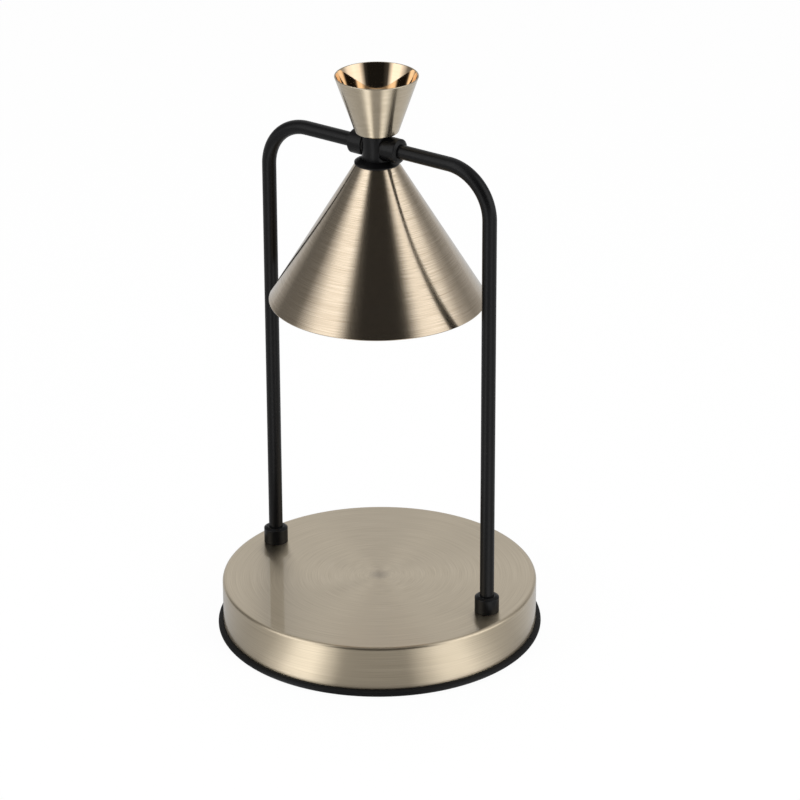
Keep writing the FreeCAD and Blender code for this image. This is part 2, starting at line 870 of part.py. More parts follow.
def make_holder_bracket():
    # Folded strap: a flat top under the shade, two legs and two feet.
    body = add_body("holder_bracket")
    half = at.bracket_span / 2
    sheet_size = at.bracket_sheet
    foot_end = half + at.bracket_foot
    foot_top = -at.bracket_drop + sheet_size
    strap = add_sketch(body, "strap", "XZ_Plane")
    draw_outline(strap, [
        (-half, 0),
        (half, 0),
        (half, foot_top),
        (foot_end, foot_top),
        (foot_end, -at.bracket_drop),
        (half - sheet_size, -at.bracket_drop),
        (half - sheet_size, -sheet_size),
        (-half + sheet_size, -sheet_size),
        (-half + sheet_size, -at.bracket_drop),
        (-foot_end, -at.bracket_drop),
        (-foot_end, foot_top),
        (-half, foot_top),
    ])
    pad(body, strap, at.bracket_width, symmetric=True)
    holes = add_sketch(body, "holes", "XY_Plane")
    draw_circle(holes, 0, 0, at.nipple_radius + at.clearance_hole_gap)
    for side in (-1, 1):
        draw_circle(holes, at.bracket_screw_offset * side, 0,
                    at.holder_screw_radius + at.clearance_hole_gap)
    cut(body, holes)
    place(body, 0, 0, shade_top - at.shade_wall)


def make_lock_washer():
    body = add_body("lock_washer")
    inside = at.nipple_radius + at.clearance_hole_gap
    turn(body, [
        (inside, 0),
        (at.lock_washer_radius, 0),
        (at.lock_washer_radius, at.lock_washer_sheet),
        (inside, at.lock_washer_sheet),
    ])
    place(body, 0, 0, shade_top - at.shade_wall - at.bracket_sheet - at.lock_washer_sheet)


def make_shade_locknut():
    body = add_body("shade_locknut")
    hex_nut(body, at.shade_nut_flats, at.shade_nut_height)
    stack = at.shade_wall + at.bracket_sheet + at.lock_washer_sheet + at.shade_nut_height
    place(body, 0, 0, shade_top - stack, turn=90)


def make_lampholder():
    # Ceramic block with two keyholes that the bulb's pins lock into.
    body = add_body("lampholder")
    blank = turn(body, [
        (0, 0),
        (at.holder_radius, 0),
        (at.holder_radius, at.holder_height),
        (0, at.holder_height),
    ])
    chamfer_rings(
        body,
        blank,
        [(at.holder_radius, 0), (at.holder_radius, at.holder_height)],
        at.holder_edge,
    )
    lead = add_sketch(body, "lead_hole", "XY_Plane", at.holder_height)
    draw_circle(lead, 0, 0, at.holder_lead_radius)
    cut(body, lead, at.holder_lead_depth)
    screws = add_sketch(body, "screw_holes", "XY_Plane", at.holder_height)
    for side in (-1, 1):
        draw_circle(screws, at.bracket_screw_offset * side, 0,
                    at.holder_screw_radius + at.fit_gap)
    cut(body, screws, at.holder_screw_length)
    slot_half = at.pin_radius + at.keyhole_gap
    room_half = at.pin_head_radius + at.keyhole_gap
    ceiling = at.keyhole_plate + at.keyhole_cavity
    features = [
        keyhole_sweep(body, "slot_sweep", slot_half, 0, at.keyhole_plate),
        keyhole_sweep(body, "room_sweep", room_half, at.keyhole_plate, ceiling),
    ]
    reach = at.pin_pitch_radius
    entry_x = reach * sine(at.bulb_twist)
    entry_y = reach * cosine(at.bulb_twist)
    rounds = (
        ("slot_end", 0, reach, slot_half, 0, at.keyhole_plate),
        ("slot_entry", entry_x, entry_y, room_half, 0, at.keyhole_plate),
        ("room_end", 0, reach, room_half, at.keyhole_plate, at.keyhole_cavity),
        ("room_entry", entry_x, entry_y, room_half, at.keyhole_plate, at.keyhole_cavity),
    )
    for name, x, y, radius, start, depth in rounds:
        sketch = add_sketch(body, name, "XY_Plane", start)
        draw_circle(sketch, x, y, radius)
        features.append(cut(body, sketch, depth, backwards=True))
    repeat_around(body, features, lead, as_size(2))
    place(body, 0, 0, holder_face)


def keyhole_sweep(body, suffix, half_width, low, high):
    # The curved part of one keyhole, from the locked place to the entry hole.
    sketch = add_sketch(body, suffix, "YZ_Plane")
    inner = at.pin_pitch_radius - half_width
    outer = at.pin_pitch_radius + half_width
    draw_outline(sketch, [(inner, low), (outer, low), (outer, high), (inner, high)])
    groove = body.newObject("PartDesign::Groove", body.Name + "_" + suffix + "_groove")
    groove.Profile = sketch
    groove.ReferenceAxis = (sketch, ["V_Axis"])
    bind(groove, "Angle", at.bulb_twist)
    groove.Reversed = True
    return groove


def make_holder_contacts():
    # Spring leaves above the pin heads.
    leaves = []
    for side in (-1, 1):
        name = "contact_front" if side < 0 else "contact_back"
        body = add_body(name, is_piece=False)
        half_length = at.contact_length / 2
        half_width = at.contact_width / 2
        sketch = add_sketch(body, "leaf", "XY_Plane")
        draw_outline(sketch, [
            (-half_width, -half_length),
            (half_width, -half_length),
            (half_width, half_length),
            (-half_width, half_length),
        ])
        pad(body, sketch, at.contact_sheet)
        ceiling = holder_face + at.keyhole_plate + at.keyhole_cavity
        place(body, 0, at.pin_pitch_radius * side, ceiling - at.contact_sheet)
        leaves.append(body)
    group("holder_contacts", leaves)


def make_holder_screws():
    screws = []
    for side in (-1, 1):
        name = "holder_screw_left" if side < 0 else "holder_screw_right"
        body = add_body(name, is_piece=False)
        pan_head_screw(body, at.holder_screw_radius, at.holder_screw_head_radius,
                       at.holder_screw_head, at.holder_screw_length)
        place(body, at.bracket_screw_offset * side, 0, holder_top + at.bracket_sheet)
        screws.append(body)
    group("holder_screws", screws)


# Bulb

def make_bulb_base():
    # Ceramic neck that carries the two pins.
    body = add_body("bulb_base")
    neck = turn(body, [
        (0, 0),
        (at.bulb_neck_radius, 0),
        (at.bulb_neck_radius, -at.bulb_neck_length),
        (0, -at.bulb_neck_length),
    ])
    chamfer_rings(body, neck, [(at.bulb_neck_radius, 0)], at.bulb_neck_edge)
    place(body, 0, 0, bulb_shoulder)


def make_bulb_pins():
    pins = []
    for side in (-1, 1):
        name = "pin_front" if side < 0 else "pin_back"
        body = add_body(name, is_piece=False)
        pin = turn(body, [
            (0, 0),
            (at.pin_radius, 0),
            (at.pin_radius, at.pin_shank),
            (at.pin_head_radius, at.pin_shank),
            (at.pin_head_radius, at.pin_shank + at.pin_head),
            (0, at.pin_shank + at.pin_head),
        ])
        top = at.pin_shank + at.pin_head
        chamfer_rings(body, pin, [(at.pin_head_radius, top)], at.pin_head_edge)
        place(body, 0, at.pin_pitch_radius * side, bulb_shoulder)
        pins.append(body)
    group("bulb_pins", pins)


def make_bulb_reflector():
    # Pressed glass bowl, curved from the neck to a straight rim.
    body = add_body("bulb_reflector")
    glass = at.bulb_glass
    neck_z = -at.bulb_neck_length
    rim_top = -at.bulb_length + at.bulb_rim
    turn(body, [
        (0, neck_z),
        (at.bulb_neck_radius, neck_z, at.bulb_curve_radius, -1),
        (at.bulb_radius, rim_top),
        (at.bulb_radius, -at.bulb_length),
        (at.bulb_radius - glass, -at.bulb_length),
        (at.bulb_radius - glass, rim_top, at.bulb_curve_radius, 1),
        (at.bulb_neck_radius - glass, neck_z - glass),
        (0, neck_z - glass),
    ])
    place(body, 0, 0, bulb_shoulder)


def make_bulb_lens():
    body = add_body("bulb_lens")
    radius = at.bulb_radius - at.bulb_glass - at.lens_gap
    turn(body, [
        (0, 0),
        (radius, 0),
        (radius, at.lens_sheet),
        (0, at.lens_sheet),
    ])
    place(body, 0, 0, bulb_shoulder - at.bulb_length + at.lens_gap)


def make_bulb_capsule():
    # Quartz capsule on a flat pinch, standing in the neck of the bowl.
    body = add_body("bulb_capsule")
    capsule = turn(body, [
        (0, 0),
        (at.capsule_pinch_radius, 0),
        (at.capsule_pinch_radius, -at.capsule_pinch),
        (at.capsule_radius, -at.capsule_pinch),
        (at.capsule_radius, -at.capsule_length),
        (0, -at.capsule_length),
    ])
    nose = [(at.capsule_radius, -at.capsule_length)]
    chamfer_rings(body, capsule, nose, at.capsule_nose)
    start = bulb_shoulder - at.bulb_neck_length - at.bulb_glass
    place(body, 0, 0, start)


# Wiring

def rounded_path(points, radii):
    # Straight runs joined by tangent arcs of the given radii.
    edges = []
    start = points[0]
    for previous, corner, following, radius in zip(points, points[1:], points[2:], radii):
        inward = (previous - corner).normalize()
        outward = (following - corner).normalize()
        half_turn = (math.pi - inward.getAngle(outward)) / 2
        reach = radius * math.tan(half_turn)
        first = corner + inward * reach
        last = corner + outward * reach
        bisector = (inward + outward).normalize()
        centre_distance = radius / math.cos(half_turn)
        middle = corner + bisector * (centre_distance - radius)
        edges.append(Part.LineSegment(start, first).toShape())
        edges.append(Part.Arc(first, middle, last).toShape())
        start = last
    edges.append(Part.LineSegment(start, points[-1]).toShape())
    return Part.Wire(edges)


def add_lead(name, path):
    # A round lead along a path, as a plain solid.
    radius = at.lead_radius.value
    start = path.Edges[0].valueAt(path.Edges[0].FirstParameter)
    heading = path.Edges[0].tangentAt(path.Edges[0].FirstParameter)
    circle = Part.Wire([Part.Circle(start, heading, radius).toShape()])
    solid = path.makePipeShell([circle], True, False)
    expected = math.pi * radius ** 2 * path.Length
    print("%s: length %.1f mm, volume %.4f of section times length"
          % (name, path.Length, solid.Volume / expected))
    lead = doc.addObject("Part::Feature", name)
    lead.Label = name
    lead.Shape = solid
    pieces.append(lead)


def make_frame_lead():
    # From the terminal block, round the ballast, up the right leg and along the bar.
    leg = leg_offset.value
    low = at.lead_floor_height.value
    block_side = at.block_length.value / 2
    block_y = block_offset.value
    wire_z = (sheet_underside - at.block_wire_drop).value
    bar = bar_height.value

    def beside_ballast(angle, height):
        return FreeCAD.Vector(
            (leg_offset * cosine(angle)).value, (leg_offset * sine(angle)).value, height
        )

    points = [
        FreeCAD.Vector(block_side - at.block_wire_pitch.value, block_y, wire_z),
        FreeCAD.Vector(block_side + at.lead_exit_run.value, block_y, wire_z),
        beside_ballast(at.lead_first_angle, wire_z - at.lead_first_drop.value),
        beside_ballast(at.lead_second_angle, low + at.lead_last_drop.value),
        beside_ballast(at.lead_last_angle, low),
        FreeCAD.Vector(leg, 0, low),
        FreeCAD.Vector(leg, 0, bar),
        FreeCAD.Vector(at.tube_end.value + at.swivel_gap.value, 0, bar),
    ]
    radii = []
    for previous, corner, following in zip(points, points[1:], points[2:]):
        inward = previous - corner
        outward = following - corner
        half_turn = (math.pi - inward.getAngle(outward)) / 2
        shorter = min(inward.Length, outward.Length)
        radii.append(at.lead_corner_share.value * shorter / math.tan(half_turn))
    radii[-1] = at.bend_radius.value
    print("frame_lead radii: " + ", ".join("%.1f" % radius for radius in radii))
    add_lead("frame_lead", rounded_path(points, radii))


def make_head_lead():
    # Down from the crossbar's axis, through the stem, into the lampholder.
    top = FreeCAD.Vector(0, 0, bar_height.value + at.lead_radius.value)
    end = holder_top.value - at.holder_lead_depth.value + at.clearance_hole_gap.value
    path = Part.Wire([Part.LineSegment(top, FreeCAD.Vector(0, 0, end)).toShape()])
    add_lead("head_lead", path)


make_base_shell()
make_rubber_edge_ring()
make_bottom_cover()
make_cover_screws()
make_ballast_weight()
make_cord_gland()
make_terminal_block()
make_terminal_screws()
for leg_name, leg_side in (("left", -1), ("right", 1)):
    make_leg_nipple("leg_nipple_" + leg_name, leg_side)
    make_leg_washer("leg_washer_" + leg_name, leg_side)
    make_leg_nut("leg_nut_" + leg_name, leg_side)
    make_leg_ferrule("leg_ferrule_" + leg_name, leg_side)
    make_tee_ferrule("tee_ferrule_" + leg_name, leg_side)
    make_friction_washer("friction_washer_" + leg_name, leg_side)
    make_frame_tube("frame_tube_" + leg_name, turned=leg_side < 0)
make_tee_body()
make_cup()
make_cup_washer()
make_cup_screw()
make_shade_cap()
make_shade()
make_shade_nipple()
make_holder_bracket()
make_lock_washer()
make_shade_locknut()
make_lampholder()
make_holder_contacts()
make_holder_screws()
make_bulb_base()
make_bulb_pins()
make_bulb_reflector()
make_bulb_lens()
make_bulb_capsule()
make_frame_lead()
make_head_lead()
doc.recompute()

for thing in doc.Objects:
    if "Invalid" in thing.State or "Error" in thing.State:
        raise RuntimeError(thing.Label + " failed: " + str(thing.State))
    if thing.TypeId in ("PartDesign::Pocket", "PartDesign::Groove"):
        if thing.Shape.Volume > thing.BaseFeature.Shape.Volume - 0.01:
            raise RuntimeError(thing.Label + " cuts nothing")

for piece in pieces:
    if piece.Shape.isNull() or not piece.Shape.isValid():
        raise RuntimeError(piece.Label + " has no valid shape")
    piece.Shape.exportStep("parts/" + piece.Label + ".step")
    box = piece.Shape.BoundBox
    print("%-24s %10.1f mm3  z %.2f to %.2f" % (piece.Label, piece.Shape.Volume, box.ZMin, box.ZMax))
print("%d pieces" % len(pieces))
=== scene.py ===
import math

import bmesh
import bpy
from mathutils import Matrix, Vector


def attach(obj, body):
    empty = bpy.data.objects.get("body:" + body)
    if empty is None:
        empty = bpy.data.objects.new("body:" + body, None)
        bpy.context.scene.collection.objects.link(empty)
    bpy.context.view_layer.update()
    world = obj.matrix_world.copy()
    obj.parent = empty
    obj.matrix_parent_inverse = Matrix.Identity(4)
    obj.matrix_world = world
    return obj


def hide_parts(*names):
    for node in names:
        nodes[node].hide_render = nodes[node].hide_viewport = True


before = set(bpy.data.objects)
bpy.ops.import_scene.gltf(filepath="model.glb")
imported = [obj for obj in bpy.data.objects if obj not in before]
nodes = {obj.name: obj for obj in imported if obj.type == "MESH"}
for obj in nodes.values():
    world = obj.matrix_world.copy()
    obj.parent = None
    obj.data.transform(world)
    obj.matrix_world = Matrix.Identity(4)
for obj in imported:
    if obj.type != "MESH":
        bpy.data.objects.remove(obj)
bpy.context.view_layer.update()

# Candle warmer lamp. Sizes are in millimetres and become metres in the meshes.
# Z is up, X runs along the crossbar, the floor is at Z = 0.
barHeight = 291.5


def addNode(tree, kind, settings=None, inputs=None):
    node = tree.nodes.new(kind)
    for name, value in (settings or {}).items():
        setattr(node, name, value)
    for name, value in (inputs or {}).items():
        if isinstance(value, bpy.types.NodeSocket):
            tree.links.new(value, node.inputs[name])
        else:
            node.inputs[name].default_value = value
    return node


def fromHex(text):
    # sRGB hex to the linear colour that nodes want
    linear = []
    for start in (1, 3, 5):
        part = int(text[start:start + 2], 16) / 255
        linear.append(part / 12.92 if part <= 0.04045 else ((part + 0.055) / 1.055) ** 2.4)
    return (*linear, 1.0)


# Camera at the photo's angle

photoView = {
    "azimuth": 36.324, "elevation": 24.319, "roll": -0.189,
    "distance": 2075.1, "aimAcross": 12.12, "aimHeight": 139.4,
    "lens": 166.17, "sensor": 36.0,
}


def addCamera():
    azimuth = math.radians(photoView["azimuth"])
    elevation = math.radians(photoView["elevation"])
    roll = math.radians(photoView["roll"])
    back = Vector((
        math.sin(azimuth) * math.cos(elevation),
        -math.cos(azimuth) * math.cos(elevation),
        math.sin(elevation),
    ))
    across = Vector((math.cos(azimuth), math.sin(azimuth), 0))
    upward = back.cross(across)
    aim = across * photoView["aimAcross"] + Vector((0, 0, photoView["aimHeight"]))
    rolledAcross = across * math.cos(roll) + upward * math.sin(roll)
    rolledUp = back.cross(rolledAcross)
    turned = Matrix((rolledAcross, rolledUp, back)).transposed().to_4x4()
    data = bpy.data.cameras.new("photoCamera")
    data.lens = photoView["lens"]
    data.sensor_width = photoView["sensor"]
    data.clip_end = 50
    camera = bpy.data.objects.new("photoCamera", data)
    spot = (aim + back * photoView["distance"]) / 1000
    camera.matrix_world = Matrix.Translation(spot) @ turned
    bpy.context.scene.collection.objects.link(camera)
    bpy.context.scene.camera = camera


addCamera()
print("camera is at the photo's angle")


# Studio: pale floor, three soft boxes, and a room that only the metal sees

studio = {
    "floorRadius": 9.0, "floorDrop": 0.2, "floorColour": "#F4F4F4", "floorGlow": 0.95,
    "fillLevel": 0.55,
    # overhead the room fades to one level, between these two heights of a unit direction
    "overheadLevel": 0.3, "overheadStart": 0.78, "overheadFull": 0.95,
    # Brightness in the metal by angle round the lamp, from the camera, positive to its right
    "floorRing": [
        (-180, 0.6), (-90, 0.42), (-70, 0.36), (-55, 0.42), (-46, 0.80), (-40, 1.35),
        (-30, 1.40), (-24, 0.85), (-17, 0.36), (13, 0.34), (21, 0.75), (28, 1.10),
        (40, 1.15), (48, 0.75), (58, 0.44), (70, 0.38), (90, 0.52), (180, 0.6),
    ],
    "roomRing": [
        (-180, 0.64), (-150, 0.45), (-125, 0.13), (-98, 0.20), (-84, 0.80), (-72, 1.40),
        (-50, 1.45), (-42, 0.70), (-35, 0.06), (-20, 0.01), (26, 0.01), (36, 0.04),
        (44, 0.60), (52, 1.25), (70, 1.40), (92, 1.10), (104, 0.50), (120, 0.26),
        (150, 0.42), (180, 0.62),
    ],
}


def addRing(tree, direction, levels):
    # a ramp of brightness laid round the lamp
    turned = addNode(tree, "ShaderNodeVectorRotate", {"rotation_type": "Z_AXIS"}, {
        "Vector": direction, "Angle": -math.radians(photoView["azimuth"])})
    parts = addNode(tree, "ShaderNodeSeparateXYZ", inputs={0: turned.outputs[0]})
    toward = addNode(tree, "ShaderNodeMath", {"operation": "MULTIPLY"}, {
        0: parts.outputs["Y"], 1: -1.0})
    angle = addNode(tree, "ShaderNodeMath", {"operation": "ARCTAN2"}, {
        0: parts.outputs["X"], 1: toward.outputs[0]})
    turnShare = addNode(tree, "ShaderNodeMapRange", inputs={
        "Value": angle.outputs[0], "From Min": -math.pi, "From Max": math.pi})
    ramp = addNode(tree, "ShaderNodeValToRGB", inputs={0: turnShare.outputs[0]})
    stops = ramp.color_ramp.elements
    while len(stops) > 1:
        stops.remove(stops[-1])
    for number, (degrees, level) in enumerate(levels):
        place = (degrees + 180) / 360
        stop = stops[0] if number == 0 else stops.new(place)
        stop.position = place
        stop.color = (level / 2, level / 2, level / 2, 1)  # a ramp holds 1 at most
    return addNode(tree, "ShaderNodeMath", {"operation": "MULTIPLY"}, {
        0: ramp.outputs[0], 1: 2.0})


def anyRay(tree, *kinds):
    # 1 where the ray is of one of these kinds
    ray = addNode(tree, "ShaderNodeLightPath")
    found = ray.outputs[kinds[0]]
    for kind in kinds[1:]:
        both = addNode(tree, "ShaderNodeMath", {"operation": "ADD", "use_clamp": True}, {
            0: found, 1: ray.outputs[kind]})
        found = both.outputs[0]
    return found


def addFloor():
    data = bpy.data.meshes.new("studioFloor")
    shape = bmesh.new()
    bmesh.ops.create_circle(shape, cap_ends=True, segments=64, radius=studio["floorRadius"])
    shape.to_mesh(data)
    shape.free()
    floor = bpy.data.objects.new("studioFloor", data)
    floor.location.z = -studio["floorDrop"] / 1000
    bpy.context.scene.collection.objects.link(floor)
    material = bpy.data.materials.new("whiteStudioPaper")
    material.use_nodes = True
    tree = material.node_tree
    tree.nodes.clear()
    paper = addNode(tree, "ShaderNodeBsdfDiffuse", inputs={
        "Color": fromHex(studio["floorColour"])})
    spot = addNode(tree, "ShaderNodeTexCoord")
    inMetal = addRing(tree, spot.outputs["Object"], studio["floorRing"])
    strength = addNode(tree, "ShaderNodeMix", inputs={
        0: anyRay(tree, "Is Glossy Ray"), 2: 1.0, 3: inMetal.outputs[0]})
    glow = addNode(tree, "ShaderNodeEmission", inputs={
        "Color": (1, 1, 1, 1), "Strength": strength.outputs[0]})
    seen = anyRay(tree, "Is Camera Ray", "Is Glossy Ray", "Is Transmission Ray")
    share = addNode(tree, "ShaderNodeMath", {"operation": "MULTIPLY"}, {
        0: seen, 1: studio["floorGlow"]})
    mix = addNode(tree, "ShaderNodeMixShader", inputs={
        0: share.outputs[0], 1: paper.outputs[0], 2: glow.outputs[0]})
    addNode(tree, "ShaderNodeOutputMaterial", inputs={"Surface": mix.outputs[0]})
    data.materials.append(material)


def addRoom():
    # the camera sees plain white, the metal sees the ring
    world = bpy.data.worlds.new("studioRoom")
    bpy.context.scene.world = world
    world.use_nodes = True
    tree = world.node_tree
    tree.nodes.clear()
    spot = addNode(tree, "ShaderNodeTexCoord")
    around = addRing(tree, spot.outputs["Generated"], studio["roomRing"])
    parts = addNode(tree, "ShaderNodeSeparateXYZ", inputs={0: spot.outputs["Generated"]})
    high = addNode(tree, "ShaderNodeMapRange", {"interpolation_type": "SMOOTHSTEP"}, {
        "Value": parts.outputs["Z"], "From Min": studio["overheadStart"],
        "From Max": studio["overheadFull"]})
    overhead = addNode(tree, "ShaderNodeMix", inputs={
        0: high.outputs[0], 2: around.outputs[0], 3: studio["overheadLevel"]})
    forGloss = addNode(tree, "ShaderNodeMix", inputs={
        0: anyRay(tree, "Is Glossy Ray"), 2: studio["fillLevel"], 3: overhead.outputs[0]})
    seen = anyRay(tree, "Is Camera Ray", "Is Transmission Ray")
    level = addNode(tree, "ShaderNodeMix", inputs={0: seen, 2: forGloss.outputs[0], 3: 1.0})
    sky = addNode(tree, "ShaderNodeBackground", inputs={
        "Color": (1, 1, 1, 1), "Strength": level.outputs[0]})
    addNode(tree, "ShaderNodeOutputWorld", inputs={"Surface": sky.outputs[0]})


softBoxAim = Vector((0, 0, 0.15))
softBoxes = {
    # angle as in the rings above; the rest in metres and watts
    "right": {"angle": 42, "height": 0.9, "distance": 1.6, "size": 0.9, "power": 14},
    "left": {"angle": -55, "height": 0.9, "distance": 1.6, "size": 0.9, "power": 9},
    "top": {"angle": 180, "height": 1.9, "distance": 0.4, "size": 1.2, "power": 12},
}


def addSoftBoxes():
    for name, box in softBoxes.items():
        turn = math.radians(photoView["azimuth"] + box["angle"])
        spot = Vector((
            math.sin(turn) * box["distance"], -math.cos(turn) * box["distance"], box["height"]
        ))
        data = bpy.data.lights.new(name + "SoftBox", "AREA")
        data.shape = "DISK"
        data.size = box["size"]
        data.energy = box["power"]
        light = bpy.data.objects.new(name + "SoftBox", data)
        light.location = spot
        light.rotation_euler = (softBoxAim - spot).to_track_quat("-Z", "Y").to_euler()
        light.visible_glossy = False  # the room already shows the boxes to the metal
        light.visible_camera = False
        bpy.context.scene.collection.objects.link(light)


addFloor()
addRoom()
addSoftBoxes()
print("studio is lit")


# Finishes

def startFinish(name):
    material = bpy.data.materials.new(name)
    material.use_nodes = True
    tree = material.node_tree
    return material, tree, tree.nodes["Principled BSDF"]


def link(tree, output, node, name):
    tree.links.new(output, node.inputs[name])


brass = {
    "anisotropy": 0.9, "coat": 0.9, "coatRoughness": 0.05,
    "lineSpacing": 0.42,    # mm between brush lines; the real 0.2 mm is too fine to show
    "bandSpacing": 2.2,     # mm, slower change of tone
    "bandShare": 0.2,
    "lineTurns": 2.2,       # noise cells across the circle: few, so each line is long
    "noiseDetail": 1.0, "noiseRoughness": 0.4, "toneLow": 0.2, "toneHigh": 0.8,
    "eye": 8.0,             # mm, a small dark eye of painted shade at the centre of the brushed rings
    # colour of the painted shade at the eye, and the share of brass colour left at its very centre
    "paintedEyeTone": "#6A5E54", "paintedEyeClear": 0.55,
}
# what differs from piece to piece: two tones, two roughnesses, and the lines' depth in mm
baseBrush = {
    "light": "#E6D7BD", "dark": "#D0C0A4", "smooth": 0.29, "rough": 0.33, "depth": 0.016}
coneBrush = {
    "light": "#EBDAC2", "dark": "#BCA98E", "smooth": 0.19, "rough": 0.24, "depth": 0.024}
cupBrush = {
    "light": "#E6D7BD", "dark": "#D2C3A8", "smooth": 0.23, "rough": 0.27, "depth": 0.010}


def makeBrushedBrass(name, brush):
    # Antique brass plate on steel, brushed on a lathe and lacquered: fine rings that pull
    # the light into soft fans on a flat top and into straight bands on a cone.
    material, tree, surface = startFinish(name)
    spot = addNode(tree, "ShaderNodeTexCoord")
    parts = addNode(tree, "ShaderNodeSeparateXYZ", inputs={0: spot.outputs["Object"]})
    flat = addNode(tree, "ShaderNodeCombineXYZ", inputs={
        0: parts.outputs["X"], 1: parts.outputs["Y"], 2: 0.0})
    reach = addNode(tree, "ShaderNodeVectorMath", {"operation": "LENGTH"}, {0: flat.outputs[0]})
    around = addNode(tree, "ShaderNodeVectorMath", {"operation": "NORMALIZE"}, {
        0: flat.outputs[0]})
    across = addNode(tree, "ShaderNodeMath", {"operation": "SUBTRACT"}, {
        0: reach.outputs["Value"], 1: parts.outputs["Z"]})
    turns = addNode(tree, "ShaderNodeVectorMath", {"operation": "SCALE"}, {
        0: around.outputs[0], "Scale": brass["lineTurns"]})
    tones = []
    for spacing in (brass["lineSpacing"], brass["bandSpacing"]):
        lines = addNode(tree, "ShaderNodeMath", {"operation": "MULTIPLY"}, {
            0: across.outputs[0], 1: 1000 / spacing})
        lift = addNode(tree, "ShaderNodeCombineXYZ", inputs={2: lines.outputs[0]})
        place = addNode(tree, "ShaderNodeVectorMath", {"operation": "ADD"}, {
            0: turns.outputs[0], 1: lift.outputs[0]})
        noise = addNode(tree, "ShaderNodeTexNoise", inputs={
            "Vector": place.outputs[0], "Scale": 1.0, "Detail": brass["noiseDetail"],
            "Roughness": brass["noiseRoughness"]})
        tones.append(noise.outputs[0])
    both = addNode(tree, "ShaderNodeMix", inputs={
        0: brass["bandShare"], 2: tones[0], 3: tones[1]})
    spread = addNode(tree, "ShaderNodeMapRange", inputs={
        "Value": both.outputs[0], "From Min": brass["toneLow"], "From Max": brass["toneHigh"]})
    colour = addNode(tree, "ShaderNodeMix", {"data_type": "RGBA"}, {
        0: spread.outputs[0], 6: fromHex(brush["dark"]), 7: fromHex(brush["light"])})
    rough = addNode(tree, "ShaderNodeMapRange", inputs={
        "Value": spread.outputs[0], "To Min": brush["rough"], "To Max": brush["smooth"]})
    bump = addNode(tree, "ShaderNodeBump", inputs={
        "Height": tones[0], "Strength": 1.0, "Distance": brush["depth"] / 1000})
    # the light spreads across the brush lines, so the tangent lies across them
    outward = addNode(tree, "ShaderNodeSeparateXYZ", inputs={0: around.outputs[0]})
    tangent = addNode(tree, "ShaderNodeCombineXYZ", inputs={
        0: outward.outputs[0], 1: outward.outputs[1], 2: -1.0})
    inRoom = addNode(tree, "ShaderNodeVectorTransform", {
        "vector_type": "VECTOR", "convert_from": "OBJECT", "convert_to": "WORLD"}, {
        0: tangent.outputs[0]})
    # painted shade: the colour darkens towards the eye's tone near the axis, at the centre of the
    # rings
    eye = addNode(tree, "ShaderNodeMapRange", {"interpolation_type": "SMOOTHSTEP"}, {
        "Value": reach.outputs["Value"], "From Max": brass["eye"] / 1000,
        "To Min": brass["paintedEyeClear"]})
    colour = addNode(tree, "ShaderNodeMix", {"data_type": "RGBA"}, {
        0: eye.outputs[0], 6: fromHex(brass["paintedEyeTone"]), 7: colour.outputs[2]})
    surface.inputs["Metallic"].default_value = 1.0
    surface.inputs["Anisotropic"].default_value = brass["anisotropy"]
    surface.inputs["Coat Weight"].default_value = brass["coat"]
    surface.inputs["Coat Roughness"].default_value = brass["coatRoughness"]
    link(tree, colour.outputs[2], surface, "Base Color")
    link(tree, rough.outputs[0], surface, "Roughness")
    link(tree, bump.outputs[0], surface, "Normal")
    link(tree, inRoom.outputs[0], surface, "Tangent")
    return material


innerBrass = {
    "light": "#F3DDC0", "dark": "#EACDAA", "smooth": 0.035, "rough": 0.063,
    "spinSpacing": 1.5, "noiseDetail": 2.0,
}


def makeInnerBrass():
    # The same plate left unbrushed inside: a warm mirror with faint spinning rings.
    material, tree, surface = startFinish("unbrushedInnerBrass")
    spot = addNode(tree, "ShaderNodeTexCoord")
    parts = addNode(tree, "ShaderNodeSeparateXYZ", inputs={0: spot.outputs["Object"]})
    rings = addNode(tree, "ShaderNodeCombineXYZ", inputs={2: parts.outputs["Z"]})
    noise = addNode(tree, "ShaderNodeTexNoise", inputs={
        "Vector": rings.outputs[0], "Scale": 1000 / innerBrass["spinSpacing"],
        "Detail": innerBrass["noiseDetail"]})
    colour = addNode(tree, "ShaderNodeMix", {"data_type": "RGBA"}, {
        0: noise.outputs[0], 6: fromHex(innerBrass["dark"]), 7: fromHex(innerBrass["light"])})
    rough = addNode(tree, "ShaderNodeMapRange", inputs={
        "Value": noise.outputs[0], "To Min": innerBrass["smooth"], "To Max": innerBrass["rough"]})
    surface.inputs["Metallic"].default_value = 1.0
    link(tree, colour.outputs[2], surface, "Base Color")
    link(tree, rough.outputs[0], surface, "Roughness")
    return material


grain = {
    "detail": 3.0, "toneLow": 0.35, "toneHigh": 0.65,
    "rougher": 1.12, "smoother": 0.9, "bumpStrength": 0.5,
}


